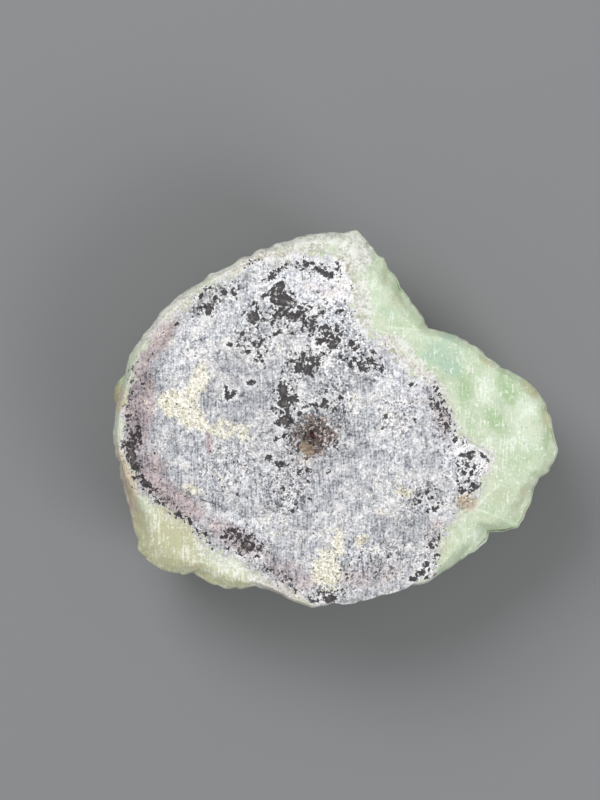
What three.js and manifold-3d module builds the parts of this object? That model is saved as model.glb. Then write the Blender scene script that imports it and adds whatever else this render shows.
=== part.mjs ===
// Botryoidal prehnite grown round a plug of altered basalt: a loose hand specimen with one sawn face.
// Millimetres, +Z up. The sawn face is up and level, and the grape-like side is down.
import * as THREE from 'three';
import { mergeVertices } from 'three/addons/utils/BufferGeometryUtils.js';
import Module from 'manifold-3d';

const wasm = await Module();
wasm.setup();

// Driving dimensions
const FACE_HEIGHT = 28; // sawn face above the surface that the specimen rests on
const WALL_FOOT = 17; // below this height the flank curves in under the specimen
const CORE_DEPTH = 14.4; // from WALL_FOOT down to the lowest point of the core under the lobes
const CORE_SQUARENESS = 2.5; // exponent of the core's section, 2 is an ellipse
const WALL_INSET = 1.7; // how far the wall stands back under the broken rim
const RIM_BAND = 3.6; // height of the broken rim above the set-back wall
const RIM_LIP = 0.5; // the rock's edge stays this far inside the silhouette on the level face
const FACE_EDGE = 0.3; // narrowest worn edge between the level face and the margin
const BEVEL_WIDTH = 4.2; // worn left edge of the sawn face, measured across the rock
const BEVEL_DROP = 1.1;
const BEVEL_MIDDLE = 190; // degrees, anticlockwise from +X
const BEVEL_FULL = 35; // degrees either side of the middle with the whole drop
const BEVEL_END = 65; // degrees either side of the middle where the bevel has run out
const CORE_HEIGHTS = [2.75, 3.8, 5.6, 8.2, 11.6, WALL_FOOT]; // rings of the core's rounded underside
const PLUG_DEPTH = 15; // how deep the rock reaches below the sawn face
const CONTACT_GAP = 0.3; // between the rock and the crust round it

// Silhouette from above, anticlockwise from the tip of the right lobe
const OUTLINE = [
  [38.0, -5.2], [36.9, -0.8], [36.0, 2.6], [34.6, 4.8], [32.8, 6.6], [29.7, 8.3], [28.2, 8.7],
  [24.1, 12.2], [20.9, 14.2], [19.0, 15.0], [16.1, 15.6], [14.7, 17.8], [11.2, 22.4], [10.8, 24.2],
  [9.3, 25.6], [8.5, 27.3], [7.6, 27.6], [5.2, 30.9], [3.9, 32.0], [1.8, 31.7], [-1.4, 31.6],
  [-7.9, 30.3], [-14.3, 27.8], [-21.5, 24.1], [-27.6, 19.8], [-32.9, 13.7], [-34.6, 11.3], [-35.6, 8.2],
  [-36.6, 4.6], [-37.5, 1.2], [-37.6, -3.5], [-36.9, -7.2], [-35.9, -11.5],
  [-33.9, -19.6], [-33.4, -22.0], [-32.2, -23.9], [-28.9, -25.6], [-25.7, -26.5], [-23.8, -26.0],
  [-22.7, -26.9], [-20.4, -28.3], [-16.0, -28.8], [-13.3, -28.2], [-7.9, -30.5], [-4.0, -32.0],
  [-0.7, -31.5], [8.6, -29.7], [13.7, -28.3], [17.5, -26.8], [20.5, -24.7], [25.6, -21.0], [26.6, -19.2],
  [31.6, -18.6], [32.3, -16.2], [34.3, -11.5], [35.1, -10.0], [36.8, -8.9], [37.4, -7.1],
];

// Edge of the rock on the sawn face. It runs past the silhouette at the lower side, where the rock is bare.
const ROCK_EDGE = [
  [26.5, -6.0], [24.4, -4.8], [21.7, -3.0], [20.5, -0.9], [18.8, 3.7], [18.0, 5.9], [16.6, 7.2],
  [14.2, 7.7], [11.2, 10.1], [8.6, 13.2], [6.1, 14.7], [4.0, 17.3], [3.5, 20.3], [3.0, 23.7], [1.8, 26.8],
  [-0.7, 28.0], [-5.0, 28.8], [-8.7, 27.5], [-12.3, 27.6], [-15.2, 26.0], [-19.1, 23.8], [-26.6, 18.6],
  [-30.0, 15.5], [-32.3, 12.0], [-34.0, 8.6], [-35.1, 5.0], [-36.1, 1.3], [-36.5, -3.1], [-35.7, -8.2],
  [-33.0, -12.7], [-29.6, -14.7], [-25.2, -17.9], [-21.5, -21.7], [-16.4, -23.9], [-10.1, -28.1],
  [-6.6, -30.2], [-3.6, -31.2], [-0.6, -32.6], [8.8, -30.8], [14.2, -29.4], [16.2, -26.6], [17.5, -23.9],
  [19.2, -19.6], [19.7, -17.3], [22.2, -15.7], [24.1, -13.7], [25.6, -11.1], [26.1, -8.6],
];

// How the crust's margin falls away from the face: the share of its width that slopes, and by how much
const RIM_SLOPES = [
  { angle: 5, share: 0.16, drop: 1.0 },
  { angle: 38, share: 0.2, drop: 1.3 },
  { angle: 62, share: 0.5, drop: 2.4 },
  { angle: 90, share: 0.5, drop: 1.4 },
  { angle: 150, share: 0.8, drop: 2.2 },
  { angle: 178, share: 0.85, drop: 4.2 },
  { angle: 200, share: 0.85, drop: 5.5 },
  { angle: 215, share: 0.5, drop: 2.6 },
  { angle: 240, share: 0.5, drop: 1.9 },
  { angle: 265, share: 0.6, drop: 1.6 },
  { angle: 300, share: 0.6, drop: 1.8 },
  { angle: 325, share: 0.62, drop: 3.0 },
  { angle: 345, share: 0.3, drop: 1.8 },
];

// Rings of lobes from the middle of the underside out to the flank. A lobe's place is given by its
// reach, as a share of the silhouette's radius, and its height by how far it stands out of the core.
const LOBE_RINGS = [
  { count: 1, turn: 215, reach: 0.06, radius: 13, spread: 0, lowest: -0.8, detail: 3 },
  { count: 7, turn: 18, reach: 0.44, radius: 9.2, spread: 0.9, lowest: -0.4, detail: 3 },
  { count: 12, turn: 8, reach: 0.7, radius: 7.4, spread: 0.9, standing: 3.3, detail: 2 },
  { count: 15, turn: -3, reach: 0.9, radius: 6.4, spread: 0.9, standing: 2.6, detail: 2 },
];
const FLANK_LOBES = { count: 22, turn: 4, height: 18.2, rise: 2.6, radius: 4.2, spread: 0.9, detail: 1 };
const RIM_CLEARANCE = 0.3; // a lobe stays this far inside the silhouette
const TURN_JITTER = 0.18; // share of the spacing by which a lobe is turned off its even place
const SIZE_PACE = 2.4; // paces of the sines that vary the lobes along a ring
const TURN_PACE = 5.1;
const HEIGHT_PACE = 3.7;
const FACET_ROLL = 0.7; // radians per millimetre, turns the facets so that neighbours don't repeat

// The one lobe that stands out past the rim, on the left
const SIDE_LOBE = { x: -33.4, y: 4.4, z: 18.5, radius: 4.6, detail: 2 };

// Amygdale pit in the middle of the rock, and the shallow dent beside it
const PITS = [
  { x: -3.7, y: -3.2, radius: 2.3, depth: 1.9 },
  { x: -7.4, y: -0.8, radius: 1.0, depth: 0.6 },
];

const TURN = Math.PI * 2;
const radians = THREE.MathUtils.degToRad;

// Angles and radii of a closed outline about the vertical axis, sorted by angle
function polar(points) {
  return points
    .map(([x, y]) => ({ angle: (Math.atan2(y, x) + TURN) % TURN, radius: Math.hypot(x, y) }))
    .sort((a, b) => a.angle - b.angle);
}

// Value between the two stops round an angle, where each stop has an angle in radians
function between(stops, angle, read) {
  const at = ((angle % TURN) + TURN) % TURN;
  let next = stops.findIndex((stop) => stop.angle > at);
  if (next < 0) next = 0;
  const before = stops[(next + stops.length - 1) % stops.length];
  const after = stops[next];
  const span = (after.angle - before.angle + TURN) % TURN;
  const along = (at - before.angle + TURN) % TURN;
  return THREE.MathUtils.lerp(read(before), read(after), along / span);
}

const outline = polar(OUTLINE);
const rockEdge = polar(ROCK_EDGE);
const slopes = RIM_SLOPES.map((slope) => ({ ...slope, angle: radians(slope.angle) }));
const silhouette = (angle) => between(outline, angle, (stop) => stop.radius);
const rockReach = (angle) => between(rockEdge, angle, (stop) => stop.radius);

// Share of the left bevel at an angle: 1 on the left side, fading out to both ends of it
function bevelShare(angle) {
  const fromLeft = Math.abs(((angle - radians(BEVEL_MIDDLE) + Math.PI + TURN) % TURN) - Math.PI);
  return 1 - THREE.MathUtils.smoothstep(fromLeft, radians(BEVEL_FULL), radians(BEVEL_END));
}

// Radius of the core at a height: a superellipse section under WALL_FOOT
function coreRadius(angle, height) {
  const depth = (WALL_FOOT - height) / CORE_DEPTH;
  const share = (1 - depth ** CORE_SQUARENESS) ** (1 / CORE_SQUARENESS);
  return (silhouette(angle) - WALL_INSET) * share;
}

function point(angle, radius, height) {
  return [Math.cos(angle) * radius, Math.sin(angle) * radius, height];
}

// Closed solid through rings of equal length, listed from the lowest to the highest
function loft(rings) {
  const count = rings[0].length;
  const vertices = rings.flat();
  const faces = [];
  for (let ring = 0; ring + 1 < rings.length; ring += 1) {
    for (let i = 0; i < count; i += 1) {
      const a = ring * count + i;
      const b = ring * count + ((i + 1) % count);
      faces.push([a, b, b + count], [a, b + count, a + count]);
    }
  }
  const mean = (ring) => [0, 1, 2].map((axis) => ring.reduce((sum, p) => sum + p[axis], 0) / count);
  const bottom = vertices.push(mean(rings[0])) - 1;
  const top = vertices.push(mean(rings.at(-1))) - 1;
  const lastRing = (rings.length - 1) * count;
  for (let i = 0; i < count; i += 1) {
    const next = (i + 1) % count;
    faces.push([bottom, next, i], [top, lastRing + i, lastRing + next]);
  }
  const geometry = new THREE.BufferGeometry();
  geometry.setAttribute('position', new THREE.Float32BufferAttribute(vertices.flat(), 3));
  geometry.setIndex(faces.flat());
  return geometry;
}

function toSolid(geometry) {
  geometry.deleteAttribute('normal');
  geometry.deleteAttribute('uv');
  const merged = mergeVertices(geometry, 1e-4);
  return new wasm.Manifold(new wasm.Mesh({
    numProp: 3,
    vertProperties: new Float32Array(merged.attributes.position.array),
    triVerts: new Uint32Array(merged.index.array),
  }));
}

function toGeometry(solid) {
  const mesh = solid.getMesh();
  const geometry = new THREE.BufferGeometry();
  geometry.setAttribute('position', new THREE.BufferAttribute(mesh.vertProperties, 3));
  geometry.setIndex(new THREE.BufferAttribute(mesh.triVerts, 1));
  geometry.computeVertexNormals();
  return geometry;
}

// The core under the lobes, with the set-back wall, the broken rim and the sawn face on top
function coreSolid() {
  const angles = outline.map((stop) => stop.angle);
  const coreRing = (height) => angles.map((angle) => point(angle, coreRadius(angle, height), height));
  const rings = CORE_HEIGHTS.map(coreRing);
  const upper = angles.map((angle) => {
    const reach = silhouette(angle);
    const rock = Math.min(rockReach(angle), reach - RIM_LIP);
    const bevel = bevelShare(angle);
    const rockTop = FACE_HEIGHT - BEVEL_DROP * bevel;
    const share = between(slopes, angle, (stop) => stop.share);
    const rimTop = rockTop - between(slopes, angle, (stop) => stop.drop);
    return [
      point(angle, reach - WALL_INSET, rimTop - RIM_BAND),
      point(angle, reach, rimTop),
      point(angle, reach - share * (reach - rock), rockTop),
      point(angle, rock, rockTop),
      point(angle, rock - FACE_EDGE - BEVEL_WIDTH * bevel, FACE_HEIGHT),
    ];
  });
  upper[0].forEach((_, ring) => rings.push(upper.map((column) => column[ring])));
  return toSolid(loft(rings));
}

// The plug of rock, grown outwards by a margin: it narrows downwards and has a blunt end
function plugSolid(margin) {
  const levels = [
    { share: 0.4, drop: PLUG_DEPTH + margin },
    { share: 0.68, drop: PLUG_DEPTH - 2 + margin },
    { share: 0.88, drop: PLUG_DEPTH * 0.6 },
    { share: 0.965, drop: PLUG_DEPTH * 0.3 },
    { share: 1, drop: 0.5 },
    { share: 1, drop: -2 },
  ];
  const corners = rockEdge.map((stop) => new THREE.Vector2(
    Math.cos(stop.angle) * stop.radius,
    Math.sin(stop.angle) * stop.radius,
  ));
  const rings = levels.map(({ share, drop }) => corners.map((corner, i) => {
    const before = corners.at(i - 1);
    const after = corners[(i + 1) % corners.length];
    const along = after.clone().sub(before).normalize();
    return [
      corner.x * share + along.y * margin,
      corner.y * share - along.x * margin,
      FACE_HEIGHT - drop,
    ];
  }));
  return toSolid(loft(rings));
}

function lobe(x, y, z, radius, detail) {
  const geometry = new THREE.IcosahedronGeometry(radius, detail);
  geometry.rotateX(x * FACET_ROLL);
  geometry.rotateZ(y * FACET_ROLL);
  geometry.translate(x, y, z);
  return toSolid(geometry);
}

// Angle of one lobe of a ring, a little off its even place
function lobeAngle(ring, i) {
  return radians(ring.turn) + (TURN * (i + TURN_JITTER * Math.sin(TURN_PACE * i))) / ring.count;
}

function ringLobes(ring, ringIndex) {
  return Array.from({ length: ring.count }, (_, i) => {
    const angle = lobeAngle(ring, i);
    const radius = ring.radius + ring.spread * Math.sin(SIZE_PACE * i + ringIndex);
    const reach = Math.min(ring.reach * silhouette(angle), silhouette(angle) - RIM_CLEARANCE - radius);
    let height = ring.lowest + radius;
    if (ring.standing) {
      const inwards = reach / (silhouette(angle) - WALL_INSET);
      const coreHeight = WALL_FOOT - CORE_DEPTH * (1 - inwards ** CORE_SQUARENESS) ** (1 / CORE_SQUARENESS);
      height = coreHeight - ring.standing + radius;
    }
    const [x, y] = point(angle, reach, height);
    return lobe(x, y, height, radius, ring.detail);
  });
}

function flankLobes() {
  return Array.from({ length: FLANK_LOBES.count }, (_, i) => {
    const angle = lobeAngle(FLANK_LOBES, i);
    const radius = FLANK_LOBES.radius + FLANK_LOBES.spread * Math.sin(SIZE_PACE * i);
    const height = FLANK_LOBES.height + FLANK_LOBES.rise * Math.sin(HEIGHT_PACE * i);
    const [x, y] = point(angle, silhouette(angle) - RIM_CLEARANCE - radius, height);
    return lobe(x, y, height, radius, FLANK_LOBES.detail);
  });
}

// Straight wall through the silhouette, from the resting plane to above the face
function silhouettePrism() {
  const ring = (height) => outline.map((stop) => point(stop.angle, stop.radius, height));
  return toSolid(loft([ring(0), ring(FACE_HEIGHT + 1)]));
}

function pitSolid({ x, y, radius, depth }) {
  const geometry = new THREE.IcosahedronGeometry(1, 2);
  geometry.scale(radius, radius * 1.2, depth);
  geometry.rotateZ(x);
  geometry.translate(x, y, FACE_HEIGHT);
  return toSolid(geometry);
}

const core = coreSolid();
const lobes = LOBE_RINGS.flatMap(ringLobes).concat(flankLobes());
const grown = lobes.reduce((solid, next) => solid.add(next), core).intersect(silhouettePrism());
const sideLobe = lobe(SIDE_LOBE.x, SIDE_LOBE.y, SIDE_LOBE.z, SIDE_LOBE.radius, SIDE_LOBE.detail);
const crust = grown.add(sideLobe).subtract(plugSolid(CONTACT_GAP));
const rock = PITS.map(pitSolid).reduce((solid, pit) => solid.subtract(pit), core.intersect(plugSolid(0)));

const prehniteFinish = new THREE.MeshStandardMaterial({ color: 0xc6d9b8, roughness: 0.45, metalness: 0 });
const basaltFinish = new THREE.MeshStandardMaterial({ color: 0xc4c5c6, roughness: 0.85, metalness: 0 });

const prehniteCrust = new THREE.Mesh(toGeometry(crust), prehniteFinish);
prehniteCrust.name = 'prehnite_crust';
const matrix = new THREE.Mesh(toGeometry(rock), basaltFinish);
matrix.name = 'matrix';

const specimenGroup = new THREE.Group();
specimenGroup.add(prehniteCrust, matrix);

export default specimenGroup;
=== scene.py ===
"""A hand specimen of botryoidal prehnite on a plug of altered basalt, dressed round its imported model.

Lengths are millimetres unless a name or a property says otherwise. The sawn face is level and up.
"""

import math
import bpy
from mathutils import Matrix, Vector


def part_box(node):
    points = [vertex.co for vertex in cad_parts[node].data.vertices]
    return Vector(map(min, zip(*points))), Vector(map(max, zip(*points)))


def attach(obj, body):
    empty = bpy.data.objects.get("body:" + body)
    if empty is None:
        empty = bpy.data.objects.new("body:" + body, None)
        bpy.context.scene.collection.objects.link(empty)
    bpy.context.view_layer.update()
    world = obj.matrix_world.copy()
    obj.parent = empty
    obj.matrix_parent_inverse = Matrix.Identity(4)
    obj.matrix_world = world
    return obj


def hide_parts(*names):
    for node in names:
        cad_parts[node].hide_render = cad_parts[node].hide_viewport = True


bl_info = {
    "name": "Botryoidal prehnite specimen",
    "version": (1, 0, 0),
    "blender": (4, 5, 0),
    "location": "View3D > Sidebar > Prehnite",
    "description": "Builds the prehnite crust, the basalt plug, their finishes and a plain studio",
    "category": "Add Mesh",
}

import bpy
import numpy as np
from bpy.props import FloatProperty, FloatVectorProperty, IntProperty, PointerProperty

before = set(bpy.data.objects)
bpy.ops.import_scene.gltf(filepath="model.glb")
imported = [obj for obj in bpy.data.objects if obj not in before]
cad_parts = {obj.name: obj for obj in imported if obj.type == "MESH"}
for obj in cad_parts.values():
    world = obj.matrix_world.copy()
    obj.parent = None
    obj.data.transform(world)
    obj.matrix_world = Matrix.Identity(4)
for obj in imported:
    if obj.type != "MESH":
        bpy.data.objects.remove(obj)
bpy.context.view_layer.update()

METRE = 1000.0
TURN = 2 * np.pi

# The specimen's form, as the solids have it
FACE_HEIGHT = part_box("matrix")[1].z * METRE
WALL_FOOT = 17.0
CORE_DEPTH = 14.4
CORE_SQUARENESS = 2.5
WALL_INSET = 1.7
RIM_BAND = 3.6
RIM_LIP = 0.5
BEVEL_WIDTH = 4.2
BEVEL_DROP = 1.1
BEVEL_MIDDLE = 190.0
BEVEL_FULL = 35.0
BEVEL_END = 65.0
PLUG_DEPTH = 15.0

# Silhouette from above, anticlockwise from the tip of the right lobe
OUTLINE = (
    (38, -5.2), (36.9, -0.8), (36, 2.6), (34.6, 4.8), (32.8, 6.6), (29.7, 8.3), (28.2, 8.7),
    (24.1, 12.2), (20.9, 14.2), (19, 15), (16.1, 15.6), (14.7, 17.8), (11.2, 22.4), (10.8, 24.2),
    (9.3, 25.6), (8.5, 27.3), (7.6, 27.6), (5.2, 30.9), (3.9, 32), (1.8, 31.7), (-1.4, 31.6),
    (-7.9, 30.3), (-14.3, 27.8), (-21.5, 24.1), (-27.6, 19.8), (-32.9, 13.7), (-34.6, 11.3),
    (-35.6, 8.2), (-36.6, 4.6), (-37.5, 1.2), (-37.6, -3.5), (-36.9, -7.2), (-35.9, -11.5),
    (-33.9, -19.6), (-33.4, -22), (-32.2, -23.9), (-28.9, -25.6), (-25.7, -26.5), (-23.8, -26),
    (-22.7, -26.9), (-20.4, -28.3), (-16, -28.8), (-13.3, -28.2), (-7.9, -30.5), (-4, -32),
    (-0.7, -31.5), (8.6, -29.7), (13.7, -28.3), (17.5, -26.8), (20.5, -24.7), (25.6, -21),
    (26.6, -19.2), (31.6, -18.6), (32.3, -16.2), (34.3, -11.5), (35.1, -10), (36.8, -8.9), (37.4, -7.1),
)

# Edge of the rock on the sawn face
ROCK_EDGE = (
    (26.5, -6), (24.4, -4.8), (21.7, -3), (20.5, -0.9), (18.8, 3.7), (18, 5.9), (16.6, 7.2),
    (14.2, 7.7), (11.2, 10.1), (8.6, 13.2), (6.1, 14.7), (4, 17.3), (3.5, 20.3), (3, 23.7), (1.8, 26.8),
    (-0.7, 28), (-5, 28.8), (-8.7, 27.5), (-12.3, 27.6), (-15.2, 26), (-19.1, 23.8), (-26.6, 18.6),
    (-30, 15.5), (-32.3, 12), (-34, 8.6), (-35.1, 5), (-36.1, 1.3), (-36.5, -3.1), (-35.7, -8.2),
    (-33, -12.7), (-29.6, -14.7), (-25.2, -17.9), (-21.5, -21.7), (-16.4, -23.9), (-10.1, -28.1),
    (-6.6, -30.2), (-3.6, -31.2), (-0.6, -32.6), (8.8, -30.8), (14.2, -29.4), (16.2, -26.6),
    (17.5, -23.9), (19.2, -19.6), (19.7, -17.3), (22.2, -15.7), (24.1, -13.7), (25.6, -11.1),
    (26.1, -8.6),
)

# Angle, the share of the crust's width that slopes there, and how far it falls
RIM_SLOPES = (
    (5, 0.16, 1), (38, 0.2, 1.3), (62, 0.5, 2.4), (90, 0.5, 1.4), (150, 0.8, 2.2), (178, 0.85, 4.2),
    (200, 0.85, 5.5), (215, 0.5, 2.6), (240, 0.5, 1.9), (265, 0.6, 1.6), (300, 0.6, 1.8),
    (325, 0.62, 3), (345, 0.3, 1.8),
)

# Rings of lobes from the middle of the underside out to the flank
LOBE_RINGS = (
    {"count": 1, "turn": 215, "reach": 0.06, "radius": 13, "spread": 0, "lowest": -0.8},
    {"count": 7, "turn": 18, "reach": 0.44, "radius": 9.2, "spread": 0.9, "lowest": -0.4},
    {"count": 12, "turn": 8, "reach": 0.7, "radius": 7.4, "spread": 0.9, "standing": 3.3},
    {"count": 15, "turn": -3, "reach": 0.9, "radius": 6.4, "spread": 0.9, "standing": 2.6},
)
FLANK_LOBES = {"count": 22, "turn": 4, "height": 18.2, "rise": 2.6, "radius": 4.2, "spread": 0.9}
SIDE_LOBE = (-33.4, 4.4, 18.5, 4.6)
RIM_CLEARANCE = 0.3
TURN_JITTER = 0.18
SIZE_PACE = 2.4
TURN_PACE = 5.1
HEIGHT_PACE = 3.7

# The lower side, where the rock is bare on the flank: from and to in degrees, and its lowest point
BARE_FROM = 267.5
BARE_TO = 297.0
BARE_FADE = 7.0
BARE_FOOT = 21.0
BARE_FOOT_WANDER = 1.1
BARE_COLOUR_INSET = 0.15 * BARE_FADE

# The flank below the rim: how far its inset and the rim's band vary, and where its colour turns sawn
INSET_VARIES = 0.4
BAND_VARIES = 0.4
SAWN_BAND = 3.6
SAWN_BAND_STRENGTH = 0.85

# Small lobes. Their place runs to SPREAD_END: below 1 it goes up the underside, above 1 up the flank
SPREAD_END = 1.36
SMALL_SIZE_VARIES = 0.42
SMALL_BELOW_RIM = 2.0
SUNK_UNDERSIDE = 0.7
SUNK_FLANK = 0.45
STRAIGHT_DOWN = 0.999
SEAT_ROUNDING = 0.2
SMALL_CLEARANCE = 0.25
LOBE_CLEARANCE = 0.2

# Depths of the fine relief: on the face, on the lobes, on the broken flank and on the margin
FACE_WAVE = 0.05
SAW_MARK = 0.018
FACE_GRAIN = 0.022
GRAIN_PLUCKED = 0.1
CREAM_PLUCKED = 0.1
SKIN_WAVE = 0.1
SKIN_CRYSTALS = 0.09
FLANK_STEPS = 0.45
FLANK_RIDGES = 0.25
MARGIN_SCALLOPS = 0.7
MARGIN_GRAIN = 0.2
RIM_OVERHANG = 0.22
RIM_CHIPS = 0.2
RIM_NOTCHES = 0.25

# Grids: columns round the specimen, and rows on each stretch of a surface
COLUMNS = 480
UNDERSIDE_ROWS = 104
WALL_ROWS = 30
MARGIN_ROWS = 46
SOCKET_ROWS = 8
FACE_ROWS = 150
PLUG_ROWS = 34
SHARP_ANGLE = 62.0


def smooth(low, high, value):
    """0 below low, 1 above high, and 3t^2 - 2t^3 between them."""
    t = np.clip((value - low) / (high - low), 0, 1)
    return t * t * (3 - 2 * t)


def mix(first, second, share):
    return first + (second - first) * share


def hashed(i, j, k, seed):
    """A number from -1 to 1 for each whole-number corner, the same on every run."""
    n = (i * 73856093) ^ (j * 19349663) ^ (k * 83492791) ^ (seed * 6542989)
    for _ in range(2):
        n = ((n ^ (n >> 16)) * 73244475) & 0xFFFFFFFF
    return ((n ^ (n >> 16)) & 0xFFFF) / 32767.5 - 1


def value_noise(points, seed):
    """Corner values of the unit cells, blended along each axis by 6t^5 - 15t^4 + 10t^3."""
    cell = np.floor(points).astype(np.int64)
    part = points - cell
    fade = part ** 3 * (part * (part * 6 - 15) + 10)
    total = np.zeros(points.shape[:-1])
    for corner in np.ndindex(2, 2, 2):
        weight = np.prod(np.where(np.array(corner, bool), fade, 1 - fade), axis=-1)
        total += weight * hashed(*np.moveaxis(cell + corner, -1, 0), seed)
    return total


def fractal(points, size, octaves=3, seed=1):
    """Sum of value noises, each half as large and half as strong as the one before."""
    total = 0
    for octave in range(octaves):
        total = total + value_noise(points * (2 ** octave / size), seed + 17 * octave) / 2 ** octave
    return total


def ridges(points, size, seed=1):
    """Noise folded at zero, which leaves sharp crests: 1 on a crest, 0 far from one."""
    return 1 - np.abs(fractal(points, size, 2, seed))


def polar(points):
    """Angles, sorted, and radii of an outline about the vertical axis."""
    x, y = np.array(points).T
    angle = np.arctan2(y, x) % TURN
    order = np.argsort(angle)
    return angle[order], np.hypot(x, y)[order]


OUTLINE_POLAR = polar(OUTLINE)
ROCK_POLAR = polar(ROCK_EDGE)


def around(angle, radius, height):
    """Points at an angle round the axis, at a distance from it and at a height."""
    return np.stack(np.broadcast_arrays(np.cos(angle) * radius, np.sin(angle) * radius, height), -1)


def silhouette(angle):
    return np.interp(angle, *OUTLINE_POLAR, period=TURN)


def rock_reach(angle):
    return np.interp(angle, *ROCK_POLAR, period=TURN)


def rim_slope(angle):
    """Share of the margin that slopes, and its drop, at an angle."""
    stops, shares, drops = np.array(RIM_SLOPES, float).T
    stops = np.radians(stops)
    return np.interp(angle, stops, shares, period=TURN), np.interp(angle, stops, drops, period=TURN)


def bevel_share(angle):
    """1 along the worn left edge, fading out to both ends of it."""
    away = np.abs((np.degrees(angle) - BEVEL_MIDDLE + 180) % 360 - 180)
    return 1 - smooth(BEVEL_FULL, BEVEL_END, away)


def bare_share(angle):
    """1 where the rock is bare on the flank, 0 where the crust covers it."""
    degrees = np.degrees(angle) % 360
    begun = smooth(BARE_FROM, BARE_FROM + BARE_FADE, degrees)
    return begun * (1 - smooth(BARE_TO - BARE_FADE, BARE_TO, degrees))


def bare_foot(angle):
    """Lowest point of the bare rock, which wanders by about a millimetre."""
    return BARE_FOOT + BARE_FOOT_WANDER * fractal(around(angle, 30, 0), 3.4, 3, 103)


def bare_reach(points):
    """Rough distance inside the bare stretch of flank, negative outside it."""
    x, y, height = np.moveaxis(points, -1, 0)
    angle = np.arctan2(y, x) % TURN
    degrees = np.degrees(angle)
    sides = np.minimum(degrees - BARE_FROM - BARE_COLOUR_INSET, BARE_TO - BARE_COLOUR_INSET - degrees)
    return np.minimum(sides * np.radians(1) * np.hypot(x, y), height - bare_foot(angle))


def rim_heights(angle):
    """Height of the rock's edge, and of the rim at the silhouette."""
    rock_top = FACE_HEIGHT - BEVEL_DROP * bevel_share(angle)
    return rock_top, rock_top - rim_slope(angle)[1]


def wall_radius(angle, height):
    """The flank without its lobes: the silhouette at the rim, and about WALL_INSET inside it below."""
    rim_top = rim_heights(angle)[1]
    ring = around(angle, 34, 0)
    inset = WALL_INSET * np.clip(0.9 + INSET_VARIES * fractal(ring, 7.0, 2, 107), 0.5, 1.25)
    band = RIM_BAND * (1 + BAND_VARIES * value_noise(ring / 9.0, 109))
    return silhouette(angle) - inset * (1 - smooth(rim_top - band, rim_top + 0.4, height))


def plug_radius(angle, height):
    """Side of the rock inside the crust: the edge on the face times a share that shrinks with depth."""
    depths = np.array((0, 0.3, 0.6, 1 - 2 / PLUG_DEPTH, 1)) * PLUG_DEPTH
    share = np.interp(FACE_HEIGHT - height, depths, (1, 0.965, 0.88, 0.68, 0.4))
    return np.minimum(rock_reach(angle), silhouette(angle) + 1) * share


def lobe_angle(ring, i):
    """Angle of one lobe of a ring, a little off its even place."""
    return math.radians(ring["turn"]) + TURN * (i + TURN_JITTER * math.sin(TURN_PACE * i)) / ring["count"]


def large_lobes():
    """Middle and radius of every large lobe, one row each, set out as in the solids."""
    lobes = []
    for ring_index, ring in enumerate(LOBE_RINGS):
        for i in range(ring["count"]):
            angle = lobe_angle(ring, i)
            radius = ring["radius"] + ring["spread"] * math.sin(SIZE_PACE * i + ring_index)
            outer = float(silhouette(angle))
            reach = min(ring["reach"] * outer, outer - RIM_CLEARANCE - radius)
            height = ring.get("lowest", 0) + radius
            if "standing" in ring:
                inwards = reach / (outer - WALL_INSET)
                section = (1 - inwards ** CORE_SQUARENESS) ** (1 / CORE_SQUARENESS)
                height = WALL_FOOT - CORE_DEPTH * section - ring["standing"] + radius
            lobes.append((math.cos(angle) * reach, math.sin(angle) * reach, height, radius))
    for i in range(FLANK_LOBES["count"]):
        angle = lobe_angle(FLANK_LOBES, i)
        radius = FLANK_LOBES["radius"] + FLANK_LOBES["spread"] * math.sin(SIZE_PACE * i)
        height = FLANK_LOBES["height"] + FLANK_LOBES["rise"] * math.sin(HEIGHT_PACE * i)
        reach = float(silhouette(angle)) - RIM_CLEARANCE - radius
        lobes.append((math.cos(angle) * reach, math.sin(angle) * reach, height, radius))
    lobes.append(SIDE_LOBE)
    return np.array(lobes)


def far_side(start_height, direction, lobe):
    """Distance along each ray from the axis to the far side of one lobe, or far below zero for a miss.

    With c the lobe's middle from the ray's start and b its part along the ray, that is
    b + sqrt(b^2 - c.c + r^2).
    """
    middle_z = lobe[2] - start_height
    along = direction[..., 0] * lobe[0] + direction[..., 1] * lobe[1] + direction[..., 2] * middle_z
    room = along ** 2 - (lobe[0] ** 2 + lobe[1] ** 2 + middle_z ** 2) + lobe[3] ** 2
    return np.where(room > 0, along + np.sqrt(np.maximum(room, 0)), -99)


def grown_reach(start_height, direction, base, lobes, blend):
    """Farthest of the base and all lobes along each ray, rounded over by blend where two meet.

    It is blend * log(sum(exp(distance / blend))). The second result is 1 in a crease between two
    equal lobes and 0 on a lobe's back, and the third a number of its own for each lobe.
    """
    total = base / blend
    most = base / blend
    tint = np.zeros(base.shape)
    for index, lobe in enumerate(lobes):
        reach = far_side(start_height, direction, lobe) / blend
        total = np.logaddexp(total, reach)
        tint = np.where(reach > most, hashed(index, 3, 5, 7), tint)
        most = np.maximum(most, reach)
    return total * blend, np.clip((total - most) / math.log(2), 0, 1), tint


def core_reach(angle, tilt):
    """Distance from the axis at WALL_FOOT to the core along a ray tilt below level.

    The core's section is a superellipse: (across / wide)^n + (down / deep)^n = 1.
    """
    wide = np.cos(tilt) / (silhouette(angle) - WALL_INSET)
    deep = np.sin(tilt) / CORE_DEPTH
    return (wide ** CORE_SQUARENESS + deep ** CORE_SQUARENESS) ** (-1 / CORE_SQUARENESS)


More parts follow.
